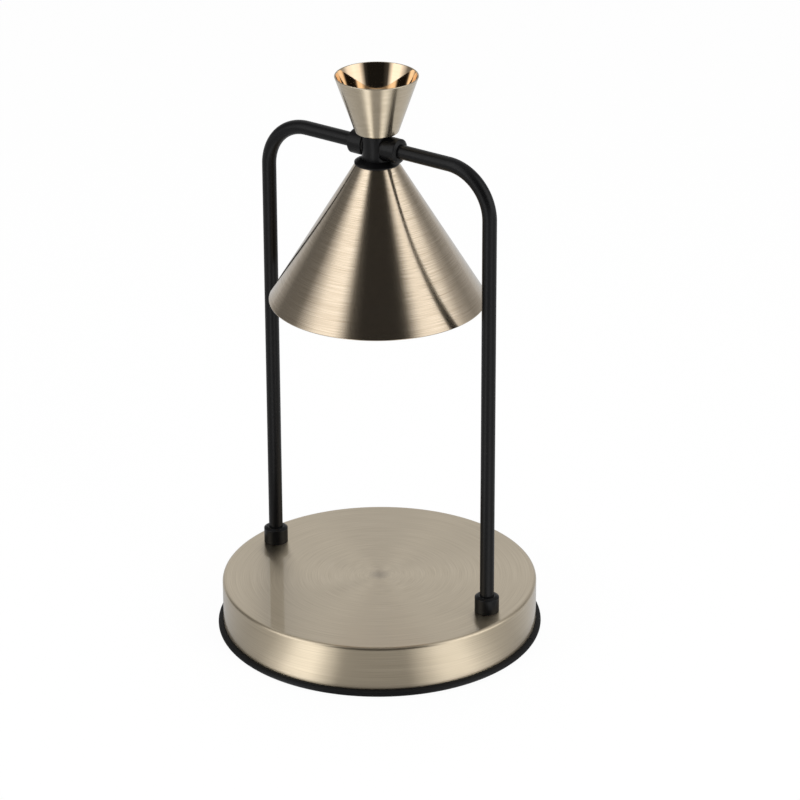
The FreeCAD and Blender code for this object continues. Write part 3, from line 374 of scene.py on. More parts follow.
def makeGrainFinish(
        name, light, dark, roughness, size, bump, metallic=0.0, coat=0.0, specular=0.5):
    # A plain finish with a fine grain: two tones, roughness that follows them, and a bump.
    # The grain's size and the bump's height are in mm.
    material, tree, surface = startFinish(name)
    spot = addNode(tree, "ShaderNodeTexCoord")
    noise = addNode(tree, "ShaderNodeTexNoise", inputs={
        "Vector": spot.outputs["Object"], "Scale": 1000 / size,
        "Detail": grain["detail"]})
    spread = addNode(tree, "ShaderNodeMapRange", inputs={
        "Value": noise.outputs[0], "From Min": grain["toneLow"], "From Max": grain["toneHigh"]})
    colour = addNode(tree, "ShaderNodeMix", {"data_type": "RGBA"}, {
        0: spread.outputs[0], 6: fromHex(dark), 7: fromHex(light)})
    rough = addNode(tree, "ShaderNodeMapRange", inputs={
        "Value": spread.outputs[0], "To Min": roughness * grain["rougher"],
        "To Max": roughness * grain["smoother"]})
    height = addNode(tree, "ShaderNodeBump", inputs={
        "Height": noise.outputs[0], "Strength": grain["bumpStrength"], "Distance": bump / 1000})
    surface.inputs["Metallic"].default_value = metallic
    surface.inputs["Coat Weight"].default_value = coat
    surface.inputs["Specular IOR Level"].default_value = specular
    link(tree, colour.outputs[2], surface, "Base Color")
    link(tree, rough.outputs[0], surface, "Roughness")
    link(tree, height.outputs[0], surface, "Normal")
    return material


glass = {"refraction": 1.5, "bumpStrength": 0.5}


def makeGlass(name, tint, roughness, dimple, depth):
    # Pressed glass: clear, with a slight tint and small moulded dimples.
    material, tree, surface = startFinish(name)
    spot = addNode(tree, "ShaderNodeTexCoord")
    cells = addNode(tree, "ShaderNodeTexVoronoi", {"feature": "SMOOTH_F1"}, {
        "Vector": spot.outputs["Object"], "Scale": 1000 / dimple})
    height = addNode(tree, "ShaderNodeBump", inputs={
        "Height": cells.outputs[0], "Strength": glass["bumpStrength"],
        "Distance": depth / 1000})
    surface.inputs["Base Color"].default_value = fromHex(tint)
    surface.inputs["Transmission Weight"].default_value = 1.0
    surface.inputs["Roughness"].default_value = roughness
    surface.inputs["IOR"].default_value = glass["refraction"]
    link(tree, height.outputs[0], surface, "Normal")
    return material


finishes = {
    "baseBrass": makeBrushedBrass("brushedAntiqueBrass", baseBrush),
    "coneBrass": makeBrushedBrass("finelyBrushedBrass", coneBrush),
    "cupBrass": makeBrushedBrass("softlyBrushedBrass", cupBrush),
    "innerBrass": makeInnerBrass(),
    # polyester powder coat, satin: deep black, soft grey lights, faint orange peel
    "powderCoat": makeGrainFinish(
        "satinPowderCoat", "#0C0C0D", "#070708", 0.34, 0.7, 0.02, specular=0.28),
    # extruded EPDM edging: dull black with a dusty grain
    "edgingRubber": makeGrainFinish(
        "edgingRubber", "#0E0E0F", "#080809", 0.58, 0.5, 0.02, specular=0.25),
    # zinc plated steel: pale grey with a faint bluish cloud
    "zincSteel": makeGrainFinish(
        "zincPlatedSteel", "#C9CCD2", "#A9ADB4", 0.34, 1.6, 0.006, metallic=1.0),
    # painted cover plate: matt black with a wrinkle
    "coverPaint": makeGrainFinish("wrinkleCoverPaint", "#232323", "#161616", 0.6, 0.9, 0.05),
    # cast iron in black dip paint: rough sand-cast skin
    "castIron": makeGrainFinish("dippedCastIron", "#3A3A3C", "#262628", 0.7, 1.8, 0.12),
    # moulded nylon: white, slightly waxy
    "whiteMoulding": makeGrainFinish("whiteNylon", "#EDEBE4", "#E2DFD6", 0.45, 1.2, 0.01),
    # steatite ceramic: warm white, glazed, faint pits
    "steatite": makeGrainFinish(
        "glazedSteatite", "#F0ECE0", "#E3DDCD", 0.3, 0.8, 0.02, coat=0.3),
    # rolled brass strip, bare: warm yellow with a rolling haze
    "contactBrass": makeGrainFinish(
        "bareContactBrass", "#DDB873", "#C39B58", 0.28, 0.8, 0.004, metallic=1.0),
    # vulcanised fibre: dry black with short hairs
    "vulcanFibre": makeGrainFinish("vulcanFibre", "#1E1C1B", "#131211", 0.75, 0.4, 0.03),
    # aluminium vapour on pressed glass: bright mirror with a faint haze
    "silvering": makeGrainFinish(
        "silveredGlass", "#E9E9EC", "#D6D6DA", 0.14, 3.0, 0.03, metallic=1.0),
    # white glaze outside the bulb's bowl
    "bulbGlaze": makeGrainFinish("bulbGlaze", "#E6E6E4", "#D8D8D6", 0.35, 2.0, 0.01),
    # silicone sheath on the lead: soft white with a slight gloss
    "leadSheath": makeGrainFinish("siliconeSheath", "#DAD8D2", "#C9C6BF", 0.5, 1.0, 0.01),
    # pressed lens: clear, dimpled to spread the light
    "lensGlass": makeGlass("dimpledLensGlass", "#F4F7F5", 0.06, 3.0, 0.15),
    # drawn quartz: clear and almost even
    "quartz": makeGlass("quartzCapsule", "#FBFBFB", 0.02, 4.0, 0.01),
}
print("finishes are mixed")


# Turned and spun pieces

def roundCorners(corners, steps=6, hold=0.15):
    # A corner is (radius, height) or (radius, height, rounding). Two points hold each flat flat.
    outline = []
    count = len(corners)
    for number, corner in enumerate(corners):
        here = Vector(corner[:2])
        if len(corner) == 2:
            outline.append(here)
            continue
        before = (Vector(corners[number - 1][:2]) - here).normalized()
        after = (Vector(corners[(number + 1) % count][:2]) - here).normalized()
        half = before.angle(after) / 2
        back = corner[2] / math.tan(half)
        centre = here + (before + after).normalized() * corner[2] / math.sin(half)
        first = here + before * back - centre
        last = here + after * back - centre
        sweep = first.angle_signed(last)
        outline.append(here + before * (back + hold))
        for step in range(steps + 1):
            angle = -sweep * step / steps
            turned = Vector((
                first.x * math.cos(angle) - first.y * math.sin(angle),
                first.x * math.sin(angle) + first.y * math.cos(angle),
            ))
            outline.append(centre + turned)
        outline.append(here + after * (back + hold))
    return outline


def arcTo(start, end, radius, side, steps=16):
    # points of an arc between two outline points, both left out
    start = Vector(start)
    end = Vector(end)
    half = (end - start).length / 2
    left = Vector((start.y - end.y, end.x - start.x)).normalized()
    centre = (start + end) / 2 + left * math.sqrt(radius ** 2 - half ** 2) * side
    first = start - centre
    sweep = 2 * math.asin(half / radius) * side
    points = []
    for step in range(1, steps):
        angle = sweep * step / steps
        points.append((
            centre.x + first.x * math.cos(angle) - first.y * math.sin(angle),
            centre.y + first.x * math.sin(angle) + first.y * math.cos(angle),
        ))
    return points


def spin(name, outline, turns, start=0.0, sweep=360):
    # Turns a closed outline about Z; a point on the axis stays one vertex.
    shape = bmesh.new()
    closed = sweep == 360
    count = turns if closed else turns + 1
    rings = []
    for radius, height in outline:
        if radius == 0:
            pole = shape.verts.new((0, 0, height / 1000))
            rings.append([pole] * count)
            continue
        ring = []
        for step in range(count):
            angle = math.radians(start + sweep * step / turns)
            ring.append(shape.verts.new((
                radius * math.cos(angle) / 1000, radius * math.sin(angle) / 1000, height / 1000
            )))
        rings.append(ring)
    for number, ring in enumerate(rings):
        following = rings[(number + 1) % len(rings)]
        for step in range(turns):
            beside = (step + 1) % count
            corners = [ring[step], ring[beside], following[beside], following[step]]
            corners = list(dict.fromkeys(corners))
            if len(corners) > 2:
                shape.faces.new(corners)
    if not closed:
        shape.faces.new([ring[0] for ring in rings])
        shape.faces.new([ring[-1] for ring in rings])
    bmesh.ops.recalc_face_normals(shape, faces=shape.faces)
    return finishMesh(name, shape)


sharpAngle = 32  # degrees; a sharper bend between two faces stays crisp


def finishMesh(name, shape):
    data = bpy.data.meshes.new(name)
    shape.to_mesh(data)
    shape.free()
    piece = bpy.data.objects.new(name, data)
    bpy.context.scene.collection.objects.link(piece)
    smoothMesh(piece)
    return piece


def smoothMesh(piece):
    piece.data.shade_smooth()
    piece.data.set_sharp_from_angle(angle=math.radians(sharpAngle))


def dress(piece, body, slotName, *finishNames, node):
    # gives a piece its finishes and its body, and hides the CAD node that it stands for
    if len(finishNames) == 1:
        piece.data.materials.clear()
    for finishName in finishNames:
        piece.data.materials.append(finishes[finishName])
    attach(piece, body)
    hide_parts(node)


faceMargin = 0.2  # mm past a flat face, so that it counts as on one side of a limit
flatShare = 0.9   # of a face's normal along the axis, so that it counts as flat


def markInside(piece, low, high, openEnd):
    # Second finish between two heights, on faces that look at the axis or out of the open end,
    # which is 1 where the piece opens upward and -1 where it opens downward.
    for face in piece.data.polygons:
        outward = face.center.x * face.normal.x + face.center.y * face.normal.y
        facesIn = outward < 0 or face.normal.z * openEnd > flatShare
        if facesIn and low / 1000 < face.center.z < high / 1000:
            face.material_index = 1


weldDistance = 1e-6  # metres


def bakeModifiers(piece):
    view = bpy.context.evaluated_depsgraph_get()
    data = bpy.data.meshes.new_from_object(piece.evaluated_get(view))
    # a cut can leave slivers of no area
    shape = bmesh.new()
    shape.from_mesh(data)
    bmesh.ops.dissolve_degenerate(shape, dist=weldDistance, edges=shape.edges)
    shape.to_mesh(data)
    shape.free()
    piece.modifiers.clear()
    piece.data = data
    return piece


def cutAway(piece, cutter):
    # takes the cutter's shape out of a piece
    tool = finishMesh(piece.name + "Cutter", cutter)
    cut = piece.modifiers.new("cut", "BOOLEAN")
    cut.object = tool
    cut.solver = "EXACT"
    bakeModifiers(piece)
    bpy.data.objects.remove(tool)


def addCylinder(shape, radius, depth, place):
    bmesh.ops.create_cone(
        shape, cap_ends=True, segments=48, radius1=radius / 1000, radius2=radius / 1000,
        depth=depth / 1000, matrix=place)


base = {
    "radius": 90.0, "top": 29.5, "foot": 1.5, "sheet": 1.2, "edge": 1.8,
    "legOffset": 75.2, "legHole": 5.2, "cordHeight": 14.0, "cordHole": 4.05, "cutDepth": 12.0,
}


def makeBase():
    inside = base["radius"] - base["sheet"]
    underside = base["top"] - base["sheet"]
    outline = roundCorners([
        (0, base["top"]),
        (base["radius"], base["top"], base["edge"]),
        (base["radius"], base["foot"]),
        (inside, base["foot"]),
        (inside, underside, base["edge"] - base["sheet"]),
        (0, underside),
    ], steps=8)
    # turned a little, so that no cut runs along a line of vertices
    piece = spin("baseShell", outline, 256, start=0.37)
    cutter = bmesh.new()
    for side in (-1, 1):
        spot = Matrix.Translation((side * base["legOffset"] / 1000, 0, base["top"] / 1000))
        addCylinder(cutter, base["legHole"], base["cutDepth"], spot)
    spot = Matrix.Translation((0, base["radius"] / 1000, base["cordHeight"] / 1000))
    spot = spot @ Matrix.Rotation(math.radians(90), 4, "X")
    addCylinder(cutter, base["cordHole"], base["cutDepth"], spot)
    cutAway(piece, cutter)
    smoothMesh(piece)
    dress(piece, "stand", "antique_brass", "baseBrass", node="base_shell")


edgeRing = {
    "bead": 1.9, "beadCentre": 91.0, "web": 1.5, "lipInside": 86.35, "lipTop": 5.4,
    "slotOutside": 90.05, "slotInside": 88.75, "jointAt": 17.0, "jointGap": 0.25,
}


def makeEdgeRing():
    # U-section edging whose two ends meet on the right
    out = edgeRing["beadCentre"] + edgeRing["bead"]
    low = (edgeRing["beadCentre"], 0)
    middle = (out, edgeRing["bead"])
    high = (edgeRing["beadCentre"], edgeRing["bead"] * 2)
    outline = [(edgeRing["lipInside"], 0), low]
    outline += arcTo(low, middle, edgeRing["bead"], 1, 8) + [middle]
    outline += arcTo(middle, high, edgeRing["bead"], 1, 8) + [high]
    outline += [
        (edgeRing["slotOutside"], edgeRing["bead"] * 2),
        (edgeRing["slotOutside"], edgeRing["web"]),
        (edgeRing["slotInside"], edgeRing["web"]),
        (edgeRing["slotInside"], edgeRing["lipTop"]),
        (edgeRing["lipInside"], edgeRing["lipTop"]),
    ]
    piece = spin(
        "rubberEdgeRing", outline, 256, start=edgeRing["jointAt"],
        sweep=360 - edgeRing["jointGap"])
    dress(piece, "stand", "black_rubber", "edgingRubber", node="rubber_edge_ring")


shadeCone = {
    "rim": 60.75, "rimHeight": 201.6, "top": 11.7, "topHeight": 282.2,
    "wall": 0.8, "hem": 2.4, "hole": 5.2, "topEdge": 0.3, "rimEdge": 0.35, "hemEdge": 0.3,
    "ceilingEdge": 0.5, "brushedLip": 1.0,
}


def makeShade():
    slope = (shadeCone["rim"] - shadeCone["top"]) / (
        shadeCone["topHeight"] - shadeCone["rimHeight"])
    wall = shadeCone["wall"]
    innerRim = shadeCone["rim"] - wall
    hemTop = innerRim - slope * shadeCone["hem"]
    hemHeight = shadeCone["rimHeight"] + shadeCone["hem"]
    ceiling = shadeCone["topHeight"] - wall
    innerTop = innerRim - slope * (ceiling - shadeCone["rimHeight"])
    outline = roundCorners([
        (shadeCone["hole"], shadeCone["topHeight"]),
        (shadeCone["top"], shadeCone["topHeight"], shadeCone["topEdge"]),
        (shadeCone["rim"], shadeCone["rimHeight"], shadeCone["rimEdge"]),
        (innerRim - wall, shadeCone["rimHeight"], shadeCone["rimEdge"]),
        (hemTop - wall, hemHeight, shadeCone["hemEdge"]),
        (hemTop, hemHeight),
        (innerTop, ceiling, shadeCone["ceilingEdge"]),
        (shadeCone["hole"], ceiling),
    ])
    piece = spin("shadeCone", outline, 256)
    lip = shadeCone["rimHeight"] + shadeCone["brushedLip"]
    markInside(piece, lip, ceiling + faceMargin, openEnd=-1)
    dress(piece, "head", "antique_brass", "coneBrass", "innerBrass", node="shade")


cupCone = {
    "foot": 11.9, "footHeight": 299.7, "rim": 23.1, "rimHeight": 332.0,
    "wall": 0.8, "floor": 1.0, "hole": 2.2, "footEdge": 1.2, "rimEdge": 0.3, "floorEdge": 0.6,
}


def makeCup():
    flare = (cupCone["rim"] - cupCone["foot"]) / (cupCone["rimHeight"] - cupCone["footHeight"])
    floor = cupCone["footHeight"] + cupCone["floor"]
    innerFoot = cupCone["foot"] - cupCone["wall"] + flare * cupCone["floor"]
    outline = roundCorners([
        (cupCone["hole"], cupCone["footHeight"]),
        (cupCone["foot"], cupCone["footHeight"], cupCone["footEdge"]),
        (cupCone["rim"], cupCone["rimHeight"], cupCone["rimEdge"]),
        (cupCone["rim"] - cupCone["wall"], cupCone["rimHeight"], cupCone["rimEdge"]),
        (innerFoot, floor, cupCone["floorEdge"]),
        (cupCone["hole"], floor),
    ])
    piece = spin("smallCup", outline, 192)
    markInside(piece, floor - faceMargin, cupCone["rimHeight"] - faceMargin, openEnd=1)
    dress(piece, "head", "antique_brass", "cupBrass", "innerBrass", node="cup")


collar = {
    "radius": 6.9, "length": 9.8, "chamferRise": 1.1, "chamferRun": 1.7, "bore": 4.05,
    "footBore": 5.05, "edge": 0.35, "legSeat": 6.2, "teeSeat": 1.1, "teeOffset": 6.7,
}


def makeCollar(name, footDepth, place, node):
    # turned ferrule: a chamfered end that fits the tube, a wider bore at the other end
    outline = roundCorners([
        (collar["footBore"], 0),
        (collar["radius"], 0, collar["edge"]),
        (collar["radius"], collar["length"] - collar["chamferRise"], collar["edge"]),
        (collar["radius"] - collar["chamferRun"], collar["length"], collar["edge"]),
        (collar["bore"], collar["length"]),
        (collar["bore"], footDepth),
        (collar["footBore"], footDepth),
    ], steps=4, hold=0.1)
    piece = spin(name, outline, 96)
    piece.data.transform(place)
    dress(piece, "stand", "black_powder_coat", "powderCoat", node=node)


def makeCollars():
    for side, name in ((-1, "left"), (1, "right")):
        foot = Matrix.Translation((side * base["legOffset"] / 1000, 0, base["top"] / 1000))
        makeCollar("legCollar" + name.title(), collar["legSeat"], foot, "leg_ferrule_" + name)
        seat = Matrix.Translation((side * collar["teeOffset"] / 1000, 0, barHeight / 1000))
        seat = seat @ Matrix.Rotation(math.radians(90 * side), 4, "Y")
        makeCollar("teeCollar" + name.title(), collar["teeSeat"], seat, "tee_ferrule_" + name)


capCollar = {
    "radius": 12.5, "neck": 8.8, "bore": 6.45, "lip": 0.5, "edge": 0.3, "height": 1.9,
    "shadeTop": 11.8, "lipSlope": 0.3, "round": 0.15,
}


def makeShadeCap():
    bottom = shadeCone["topHeight"]
    outline = roundCorners([
        (capCollar["bore"], bottom),
        (capCollar["shadeTop"], bottom),
        (capCollar["shadeTop"] + capCollar["lipSlope"], bottom - capCollar["lip"]),
        (capCollar["radius"], bottom - capCollar["lip"], capCollar["round"]),
        (capCollar["radius"], bottom + capCollar["edge"], capCollar["round"]),
        (capCollar["neck"], bottom + capCollar["height"]),
        (capCollar["bore"], bottom + capCollar["height"]),
    ], steps=4, hold=0.05)
    piece = spin("shadeCap", outline, 128)
    dress(piece, "head", "black_powder_coat", "powderCoat", node="shade_cap")


bulb = {
    "shoulder": 253.1, "neck": 9.8, "neckLength": 13.0, "length": 47.6, "radius": 25.0,
    "rim": 4.0, "curve": 45.0, "glass": 1.4, "lens": 23.45, "lensSheet": 2.2, "lensGap": 0.15,
    "lensFrontEdge": 0.5, "lensBackEdge": 0.3, "capsule": 4.6, "capsuleLength": 20.0,
    "pinch": 3.4, "pinchLength": 6.0, "pinchEdge": 0.4, "shoulderEdge": 0.6, "noseEdge": 3.6,
}


def makeBulb():
    top = bulb["shoulder"] - bulb["neckLength"]
    bottom = bulb["shoulder"] - bulb["length"]
    wall = bulb["glass"]
    outerStart = (bulb["neck"], top)
    outerEnd = (bulb["radius"], bottom + bulb["rim"])
    innerStart = (bulb["radius"] - wall, bottom + bulb["rim"])
    innerEnd = (bulb["neck"] - wall, top - wall)
    outline = [(0, top), outerStart]
    outline += arcTo(outerStart, outerEnd, bulb["curve"], -1) + [outerEnd]
    outline += [(bulb["radius"], bottom), (bulb["radius"] - wall, bottom), innerStart]
    outline += arcTo(innerStart, innerEnd, bulb["curve"], 1) + [innerEnd, (0, top - wall)]
    bowl = spin("bulbBowl", outline, 128)
    markInside(bowl, bottom + faceMargin, top - faceMargin, openEnd=-1)
    dress(bowl, "bulb", "reflector_glass", "bulbGlaze", "silvering", node="bulb_reflector")
    low = bottom + bulb["lensGap"]
    lens = spin("bulbLens", roundCorners([
        (0, low),
        (bulb["lens"], low, bulb["lensFrontEdge"]),
        (bulb["lens"], low + bulb["lensSheet"], bulb["lensBackEdge"]),
        (0, low + bulb["lensSheet"]),
    ]), 128)
    dress(lens, "bulb", "clear_glass", "lensGlass", node="bulb_lens")
    high = top - wall
    capsule = spin("bulbCapsule", roundCorners([
        (0, high),
        (bulb["pinch"], high),
        (bulb["pinch"], high - bulb["pinchLength"], bulb["pinchEdge"]),
        (bulb["capsule"], high - bulb["pinchLength"], bulb["shoulderEdge"]),
        (bulb["capsule"], high - bulb["capsuleLength"], bulb["noseEdge"]),
        (0, high - bulb["capsuleLength"]),
    ], steps=10), 64)
    dress(capsule, "bulb", "clear_glass", "quartz", node="bulb_capsule")


makeBase()
makeEdgeRing()
makeShade()
makeCup()
makeCollars()
makeShadeCap()
makeBulb()
print("turned and spun pieces are made")


# Bent tubes, swept along their path by Geometry Nodes

tube = {
    "radius": 4.0, "wall": 0.8, "bend": 27.0, "foot": 35.7, "end": 2.6, "bendSteps": 28,
    "around": 48, "crown": 0.7,
}


def addSocket(tree, name, kind, value=None):
    socket = tree.interface.new_socket(name, in_out="INPUT", socket_type=kind)
    if value is not None:
        socket.default_value = value


def makeTubeTree():
    tree = bpy.data.node_groups.new("bentTube", "GeometryNodeTree")
    addSocket(tree, "Leg Offset", "NodeSocketFloat", base["legOffset"] / 1000)
    addSocket(tree, "Foot Height", "NodeSocketFloat", tube["foot"] / 1000)
    addSocket(tree, "Bar Height", "NodeSocketFloat", barHeight / 1000)
    addSocket(tree, "Bar End", "NodeSocketFloat", tube["end"] / 1000)
    addSocket(tree, "Bend Radius", "NodeSocketFloat", tube["bend"] / 1000)
    addSocket(tree, "Tube Radius", "NodeSocketFloat", tube["radius"] / 1000)
    addSocket(tree, "Finish", "NodeSocketMaterial")
    tree.interface.new_socket("Geometry", in_out="OUTPUT", socket_type="NodeSocketGeometry")
    given = addNode(tree, "NodeGroupInput").outputs
    foot = addNode(tree, "ShaderNodeCombineXYZ", inputs={
        0: given["Leg Offset"], 2: given["Foot Height"]})
    corner = addNode(tree, "ShaderNodeCombineXYZ", inputs={
        0: given["Leg Offset"], 2: given["Bar Height"]})
    end = addNode(tree, "ShaderNodeCombineXYZ", inputs={
        0: given["Bar End"], 2: given["Bar Height"]})
    leg = addNode(tree, "GeometryNodeCurvePrimitiveLine", inputs={
        "Start": foot.outputs[0], "End": corner.outputs[0]})
    # a route of three points: the leg's line gets three, and the last two move to their places
    route = addNode(tree, "GeometryNodeResampleCurve", inputs={
        "Curve": leg.outputs[0], "Count": 3})
    index = addNode(tree, "GeometryNodeInputIndex")
    for number, target in ((1, corner), (2, end)):
        chosen = addNode(tree, "FunctionNodeCompare", {"data_type": "INT", "operation": "EQUAL"}, {
            2: index.outputs[0], 3: number})
        route = addNode(tree, "GeometryNodeSetPosition", inputs={
            "Geometry": route.outputs[0], "Selection": chosen.outputs[0],
            "Position": target.outputs[0]})
    bent = addNode(tree, "GeometryNodeFilletCurve", {"mode": "POLY"}, {
        "Curve": route.outputs[0], "Radius": given["Bend Radius"], "Count": tube["bendSteps"]})
    section = addNode(tree, "GeometryNodeCurvePrimitiveCircle", inputs={
        "Resolution": tube["around"], "Radius": given["Tube Radius"]})
    skin = addNode(tree, "GeometryNodeCurveToMesh", inputs={
        "Curve": bent.outputs[0], "Profile Curve": section.outputs[0]})
    real = addNode(tree, "GeometryNodeRealizeInstances", inputs={0: skin.outputs[0]})
    finish = addNode(tree, "GeometryNodeSetMaterial", inputs={
        "Geometry": real.outputs[0], "Material": given["Finish"]})
    addNode(tree, "NodeGroupOutput", inputs={0: finish.outputs[0]})
    return tree


def growPiece(name, data, tree, values):
    # runs a node tree on a mesh and keeps the result as a plain mesh
    piece = bpy.data.objects.new(name, data)
    bpy.context.scene.collection.objects.link(piece)
    modifier = piece.modifiers.new(tree.name, "NODES")
    modifier.node_group = tree
    for item in tree.interface.items_tree:
        if item.item_type == "SOCKET" and item.in_out == "INPUT" and item.name in values:
            modifier[item.identifier] = values[item.name]
    return bakeModifiers(piece)


def makeTubes():
    tree = makeTubeTree()
    for side, name in ((-1, "left"), (1, "right")):
        piece = growPiece("bentTube" + name.title(), bpy.data.meshes.new("tubeStart"), tree, {
            "Leg Offset": side * base["legOffset"] / 1000,
            "Bar End": side * tube["end"] / 1000,
            "Finish": finishes["powderCoat"],
        })
        shape = bmesh.new()
        shape.from_mesh(piece.data)
        bmesh.ops.remove_doubles(shape, verts=shape.verts, dist=weldDistance)
        # the sweep may come out inside out: the faces on top of the bar look up when it is right
        outside = sum(
            face.normal.z for face in shape.faces
            if face.calc_center_median().z > (barHeight + tube["radius"] * tube["crown"]) / 1000)
        if outside < 0:
            bmesh.ops.reverse_faces(shape, faces=shape.faces)
        shape.to_mesh(piece.data)
        shape.free()
        wall = piece.modifiers.new("wall", "SOLIDIFY")
        wall.thickness = tube["wall"] / 1000
        wall.offset = -1
        bakeModifiers(piece)
        smoothMesh(piece)
        dress(piece, "stand", "black_powder_coat", "powderCoat", node="frame_tube_" + name)


makeTubes()
print("tubes are bent")


# Screws that repeat round a circle, placed by Geometry Nodes

def makeCircleTree():
    tree = bpy.data.node_groups.new("repeatAround", "GeometryNodeTree")
    tree.interface.new_socket("Geometry", in_out="INPUT", socket_type="NodeSocketGeometry")
    addSocket(tree, "Count", "NodeSocketInt", 3)
    addSocket(tree, "Circle Radius", "NodeSocketFloat", 0.01)
    addSocket(tree, "First Angle", "NodeSocketFloat", 0.0)
    addSocket(tree, "Finish", "NodeSocketMaterial")
    tree.interface.new_socket("Geometry", in_out="OUTPUT", socket_type="NodeSocketGeometry")
    given = addNode(tree, "NodeGroupInput").outputs
    number = addNode(tree, "GeometryNodeInputIndex")
    share = addNode(tree, "ShaderNodeMath", {"operation": "DIVIDE"}, {
        0: number.outputs[0], 1: given["Count"]})
    angle = addNode(tree, "ShaderNodeMath", {"operation": "MULTIPLY_ADD"}, {
        0: share.outputs[0], 1: math.tau, 2: given["First Angle"]})
    reach = addNode(tree, "ShaderNodeCombineXYZ", inputs={0: given["Circle Radius"]})
    place = addNode(tree, "ShaderNodeVectorRotate", {"rotation_type": "Z_AXIS"}, {
        "Vector": reach.outputs[0], "Angle": angle.outputs[0]})
    points = addNode(tree, "GeometryNodePoints", inputs={
        "Count": given["Count"], "Position": place.outputs[0]})
    copies = addNode(tree, "GeometryNodeInstanceOnPoints", inputs={
        "Points": points.outputs[0], "Instance": given["Geometry"]})
    real = addNode(tree, "GeometryNodeRealizeInstances", inputs={0: copies.outputs[0]})
    finish = addNode(tree, "GeometryNodeSetMaterial", inputs={
        "Geometry": real.outputs[0], "Material": given["Finish"]})
    addNode(tree, "NodeGroupOutput", inputs={0: finish.outputs[0]})
    return tree


screwShape = {
    "tip": 0.3, "headRound": 0.5, "slotDepth": 0.45, "slotReach": 2.4, "around": 40, "turn": 3.1,
}
screws = {
    # upward is 1 where the head is on top; the rest in mm, and the first one's angle in degrees
    "cover": {"body": "stand", "node": "cover_screws", "count": 3, "circle": 48.0, "first": 90,
              "seat": 5.4, "upward": -1, "shank": 2.0, "head": 3.8, "headHeight": 2.3,
              "length": 10.4, "slot": 0.9},
    "holder": {"body": "head", "node": "holder_screws", "count": 2, "circle": 12.4, "first": 0,
               "seat": 269.4, "upward": 1, "shank": 1.5, "head": 2.6, "headHeight": 1.9,
               "length": 7.0, "slot": 0.7},
    "cup": {"body": "head", "node": "cup_screw", "count": 1, "circle": 0.0, "first": 0,
            "seat": 301.5, "upward": 1, "shank": 2.0, "head": 3.8, "headHeight": 2.3,
            "length": 5.2, "slot": 0.9},
}


def makeScrewMesh(name, screw):
    # slotted pan head, turned a little so that the slot misses the lines of vertices
    high = screw["headHeight"]
    outline = roundCorners([
        (0, -screw["length"]),
        (screw["shank"], -screw["length"], screwShape["tip"]),
        (screw["shank"], 0),
        (screw["head"], 0),
        (screw["head"], high, high * screwShape["headRound"]),
        (0, high),
    ], steps=5, hold=0.05)
    piece = spin(name, outline, screwShape["around"], start=screwShape["turn"])
    cutter = bmesh.new()
    size = Matrix.Diagonal((
        screw["head"] * screwShape["slotReach"] / 1000,
        screw["slot"] / 1000,
        high * screwShape["slotDepth"] * 2 / 1000,
        1,
    ))
    spot = Matrix.Translation((0, 0, high / 1000))
    bmesh.ops.create_cube(cutter, size=1.0, matrix=spot @ size)
    cutAway(piece, cutter)
    if screw["upward"] < 0:
        piece.data.transform(Matrix.Rotation(math.pi, 4, "X"))
    piece.data.transform(Matrix.Translation((0, 0, screw["seat"] / 1000)))
    data = piece.data
    bpy.data.objects.remove(piece)
    return data


def makeScrews():
    tree = makeCircleTree()
    for name, screw in screws.items():
        piece = growPiece(name + "Screws", makeScrewMesh(name + "Screw", screw), tree, {
            "Count": screw["count"],
            "Circle Radius": screw["circle"] / 1000,
            "First Angle": math.radians(screw["first"]),
            "Finish": finishes["zincSteel"],
        })
        smoothMesh(piece)
        dress(piece, screw["body"], "zinc_steel", "zincSteel", node=screw["node"])


makeScrews()
print("screws are in")


# Small parts: the CAD shape again, with its edges broken

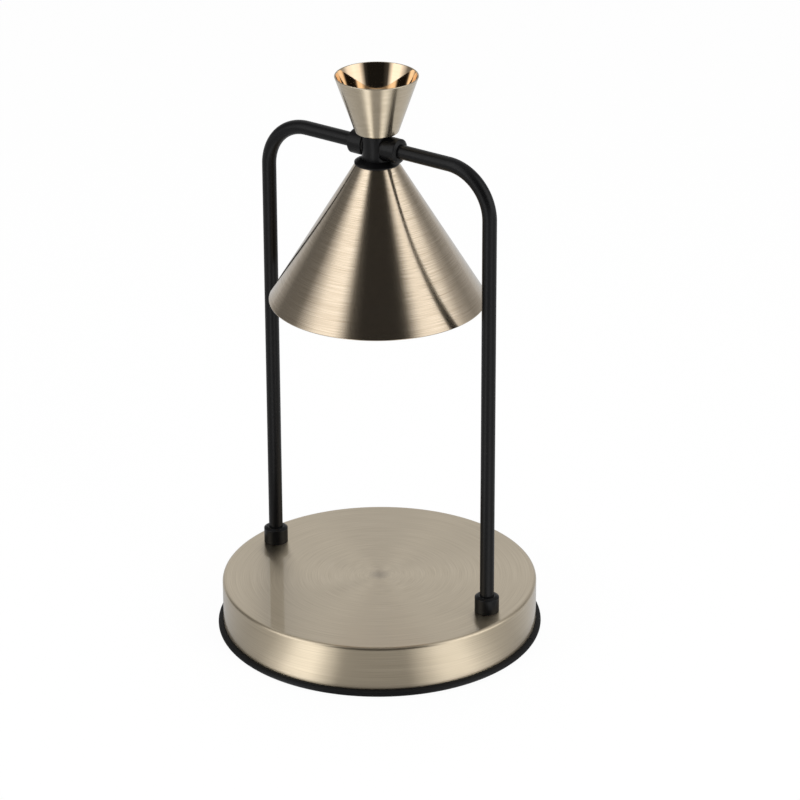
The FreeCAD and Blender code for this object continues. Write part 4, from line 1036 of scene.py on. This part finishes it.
smallParts = {
    # node: body, record slot, finish, edge in mm
    "tee_body": ("head", "black_powder_coat", "powderCoat", 0.25),
    "friction_washer_left": ("stand", "black_fibre", "vulcanFibre", 0.08),
    "friction_washer_right": ("stand", "black_fibre", "vulcanFibre", 0.08),
    "cup_washer": ("head", "zinc_steel", "zincSteel", 0.1),
    "bottom_cover": ("stand", "black_cover", "coverPaint", 0.3),
    "cord_gland": ("stand", "black_rubber", "edgingRubber", 0.3),
    "lampholder": ("head", "white_ceramic", "steatite", 0.25),
    "holder_bracket": ("head", "zinc_steel", "zincSteel", 0.15),
    "shade_locknut": ("head", "zinc_steel", "zincSteel", 0.25),
    "lock_washer": ("head", "zinc_steel", "zincSteel", 0.1),
    "shade_nipple": ("head", "zinc_steel", "zincSteel", 0.2),
    "bulb_base": ("bulb", "white_ceramic", "steatite", 0.3),
    "bulb_pins": ("bulb", "contact_brass", "contactBrass", 0.15),
}
edgeBreak = {"weld": 2e-6, "flatAngle": 0.6, "sharpAngle": 35, "segments": 2}


def makeSmallParts():
    for node, (body, slotName, finishName, edge) in smallParts.items():
        words = node.split("_")
        name = words[0] + "".join(word.title() for word in words[1:])
        if name in nodes:
            name += "Body"  # two objects can't share a name
        shape = bmesh.new()
        shape.from_mesh(nodes[node].data)
        bmesh.ops.remove_doubles(shape, verts=shape.verts, dist=edgeBreak["weld"])
        bmesh.ops.dissolve_limit(
            shape, angle_limit=math.radians(edgeBreak["flatAngle"]), verts=shape.verts,
            edges=shape.edges)
        piece = finishMesh(name, shape)
        broken = piece.modifiers.new("edges", "BEVEL")
        broken.width = edge / 1000
        broken.segments = edgeBreak["segments"]
        broken.limit_method = "ANGLE"
        broken.angle_limit = math.radians(edgeBreak["sharpAngle"])
        broken.use_clamp_overlap = True
        bakeModifiers(piece)
        smoothMesh(piece)
        dress(piece, body, slotName, finishName, node=node)


makeSmallParts()


# CAD pieces that stay as they are and only get a finish

keptFinishes = {
    "ballast_weight": "castIron",
    "terminal_block": "whiteMoulding",
    "terminal_screws": "zincSteel",
    "leg_nipple_left": "zincSteel",
    "leg_nipple_right": "zincSteel",
    "leg_washer_left": "zincSteel",
    "leg_washer_right": "zincSteel",
    "leg_nut_left": "zincSteel",
    "leg_nut_right": "zincSteel",
    "frame_lead": "leadSheath",
    "head_lead": "leadSheath",
    "holder_contacts": "contactBrass",
}

for node, finishName in keptFinishes.items():
    if not nodes[node].material_slots:
        nodes[node].data.materials.append(finishes[finishName])
    for materialSlot in nodes[node].material_slots:
        materialSlot.material = finishes[finishName]
print("small parts are dressed")

bpy.context.scene.view_settings.view_transform = "Standard"
